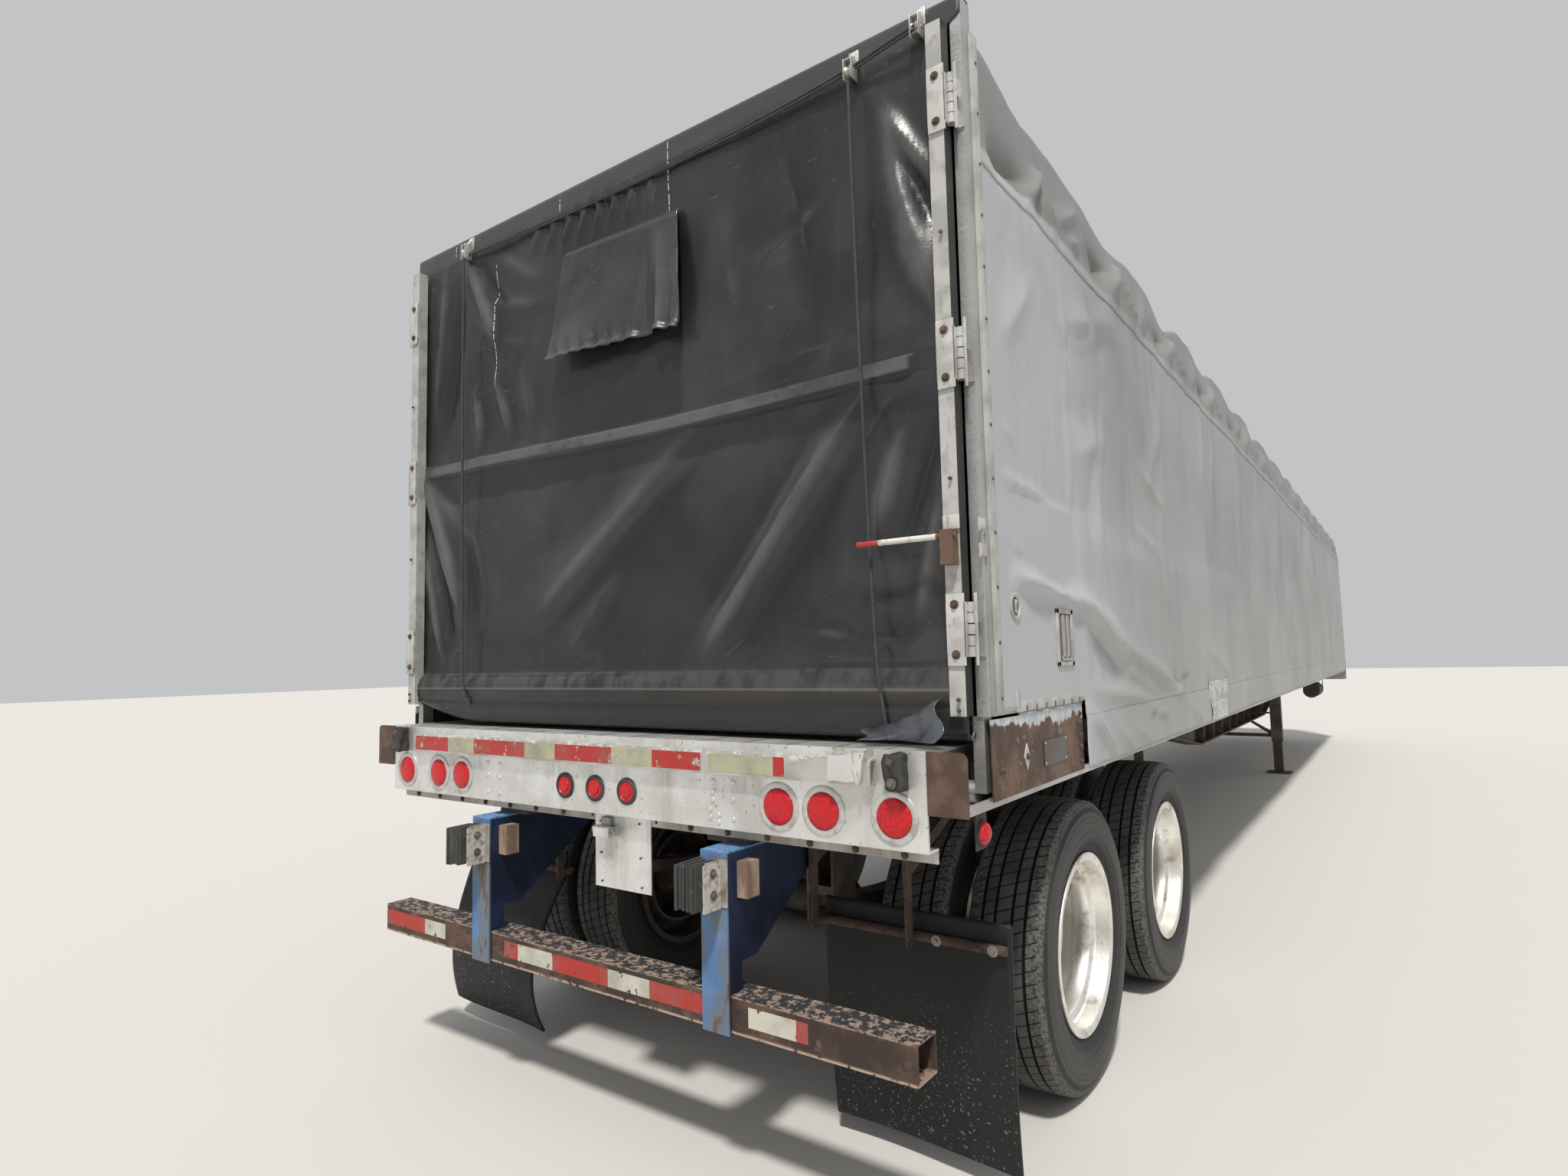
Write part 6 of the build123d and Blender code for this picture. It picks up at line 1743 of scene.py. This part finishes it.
def patch_finish():
    """Thin shiny foil, crumpled, greyer than the cloth under it."""
    made = Finish("patch_foil", coat=0.3)
    creases = made.node("ShaderNodeTexVoronoi", {"feature": "DISTANCE_TO_EDGE"},
                        {"Scale": 26, "Vector": made.place()})
    patches = made.noise(14, 6)
    made.colour(made.mix(made.step(patches, 0.4, 0.65), (0.4, 0.42, 0.43), (0.52, 0.53, 0.53)))
    made.rough(0.22 + patches * 0.2)
    made.bump(made.step(creases, 0, 0.12) * 0.7 + patches * 1.2, 0.006)
    return made.material


def tarpaulin_patch():
    """Foil patch over the hem, in two overlapping strips."""
    finish = patch_finish()
    for name, d0, d1, z0, z1, proud in PATCH_STRIPS:
        mesh, u, v = grid_sheet(name, 40, 22)
        d, z = d0 + (d1 - d0) * u, z0 + (z1 - z0) * v
        d = d + 0.010 * ripple(u, v, v * 0, 3.0)
        lift = cover_lift(z * 0 + COVER_HALF, d, z)[1]
        x = COVER_HALF + lift + proud + 0.0035 * ripple(d, z, z * 0, 16, 3)
        lay(mesh, np.column_stack((x, d + SILL, z)), d, z)
        sheet = cloth_piece(mesh, finish, 0.0012, "root")
        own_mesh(sheet)


tarpaulin_patch()


# %% Torn film
ABOVE_DECK = 1.2545


def film():
    """Clear film that hangs out from under the curtain and lies crumpled on the deck's edge."""
    made = Finish("clear_film", coat=0.5)
    patches = made.noise(9, 5)
    made.colour(made.mix(made.step(patches, 0.4, 0.65), (0.03, 0.034, 0.045), (0.12, 0.13, 0.15)))
    made.rough(0.14 + patches * 0.2)
    connect(made.tree, 0.1 + patches * 0.7, made.shader.inputs["Alpha"])
    made.bump(made.noise(20, 5) * 1.5 + patches, 0.006)
    mesh, u, v = grid_sheet("torn_film", 44, 30)
    x = 0.965 + 0.235 * u + 0.02 * np.sin(v * 6)
    z = 1.262 + (0.028 + 0.085 * u ** 1.6) * v + 0.004
    d = 0.062 + 0.050 * v - 0.030 * np.sin(u * 7.5 + 1) * (1 - v) * 0.6 - 0.02 * u
    d = d + 0.008 * ripple(x, z, z * 0, 9)
    z = z + 0.006 * ripple(x, d, z * 0, 11) * (0.4 + v)
    lay(mesh, np.column_stack((x, d + SILL, np.maximum(z, ABOVE_DECK))), x, z)
    sheet = cloth_piece(mesh, made.material, 0.001, "sliding_frame")


film()

# %% [markdown]
# The deck is laid from planks. At the rear edge their joints show as thin dark lines.

# %% Plank joints
PLANK_WIDTH, DECK_HEIGHT = 0.154, 1.25


def plank_joints():
    """Thin dark seams between the deck planks, seen at the rear edge."""
    bm = bmesh.new()
    for x in np.arange(-1.08, 1.09, PLANK_WIDTH):
        block(bm, (x - 0.002, 0.001, DECK_HEIGHT - 0.0005), (x + 0.002, 0.60, DECK_HEIGHT + 0.0006))
    new_piece("plank_joints", bm, "root", "frame_steel")


plank_joints()

# %% [markdown]
# The trailer stands on a plain pale floor under soft studio light. The floor takes the trailer's shadow.

# %% Floor and light
FLOOR_SIZE = 120
TOWARDS_KEY = (0.24, -0.46, 0.85)


def studio():
    """Floor, a key light from high behind the kerb side corner, and an even sky."""
    bm = bmesh.new()
    bmesh.ops.create_grid(bm, x_segments=1, y_segments=1, size=FLOOR_SIZE / 2)
    mesh = bpy.data.meshes.new("floor")
    bm.to_mesh(mesh)
    bm.free()
    floor = bpy.data.objects.new("floor", mesh)
    bpy.context.scene.collection.objects.link(floor)
    pale = Finish("floor_paint")
    pale.colour((0.62, 0.6, 0.57))
    pale.rough(0.8)
    mesh.materials.append(pale.material)

    world = bpy.data.worlds.new("studio")
    bpy.context.scene.world = world
    world.use_nodes = True
    background = world.node_tree.nodes["Background"]
    background.inputs["Color"].default_value = (0.93, 0.95, 0.97, 1)
    background.inputs["Strength"].default_value = 0.58

    key_data = bpy.data.lights.new("key", "SUN")
    key_data.energy = 3.1
    key_data.angle = math.radians(5)
    key_data.color = (1.0, 0.97, 0.92)
    key = bpy.data.objects.new("key", key_data)
    key.rotation_euler = Vector(TOWARDS_KEY).to_track_quat("Z", "Y").to_euler()
    bpy.context.scene.collection.objects.link(key)


studio()
bpy.context.scene.view_settings.view_transform = "Standard"

# %% Last import
import json
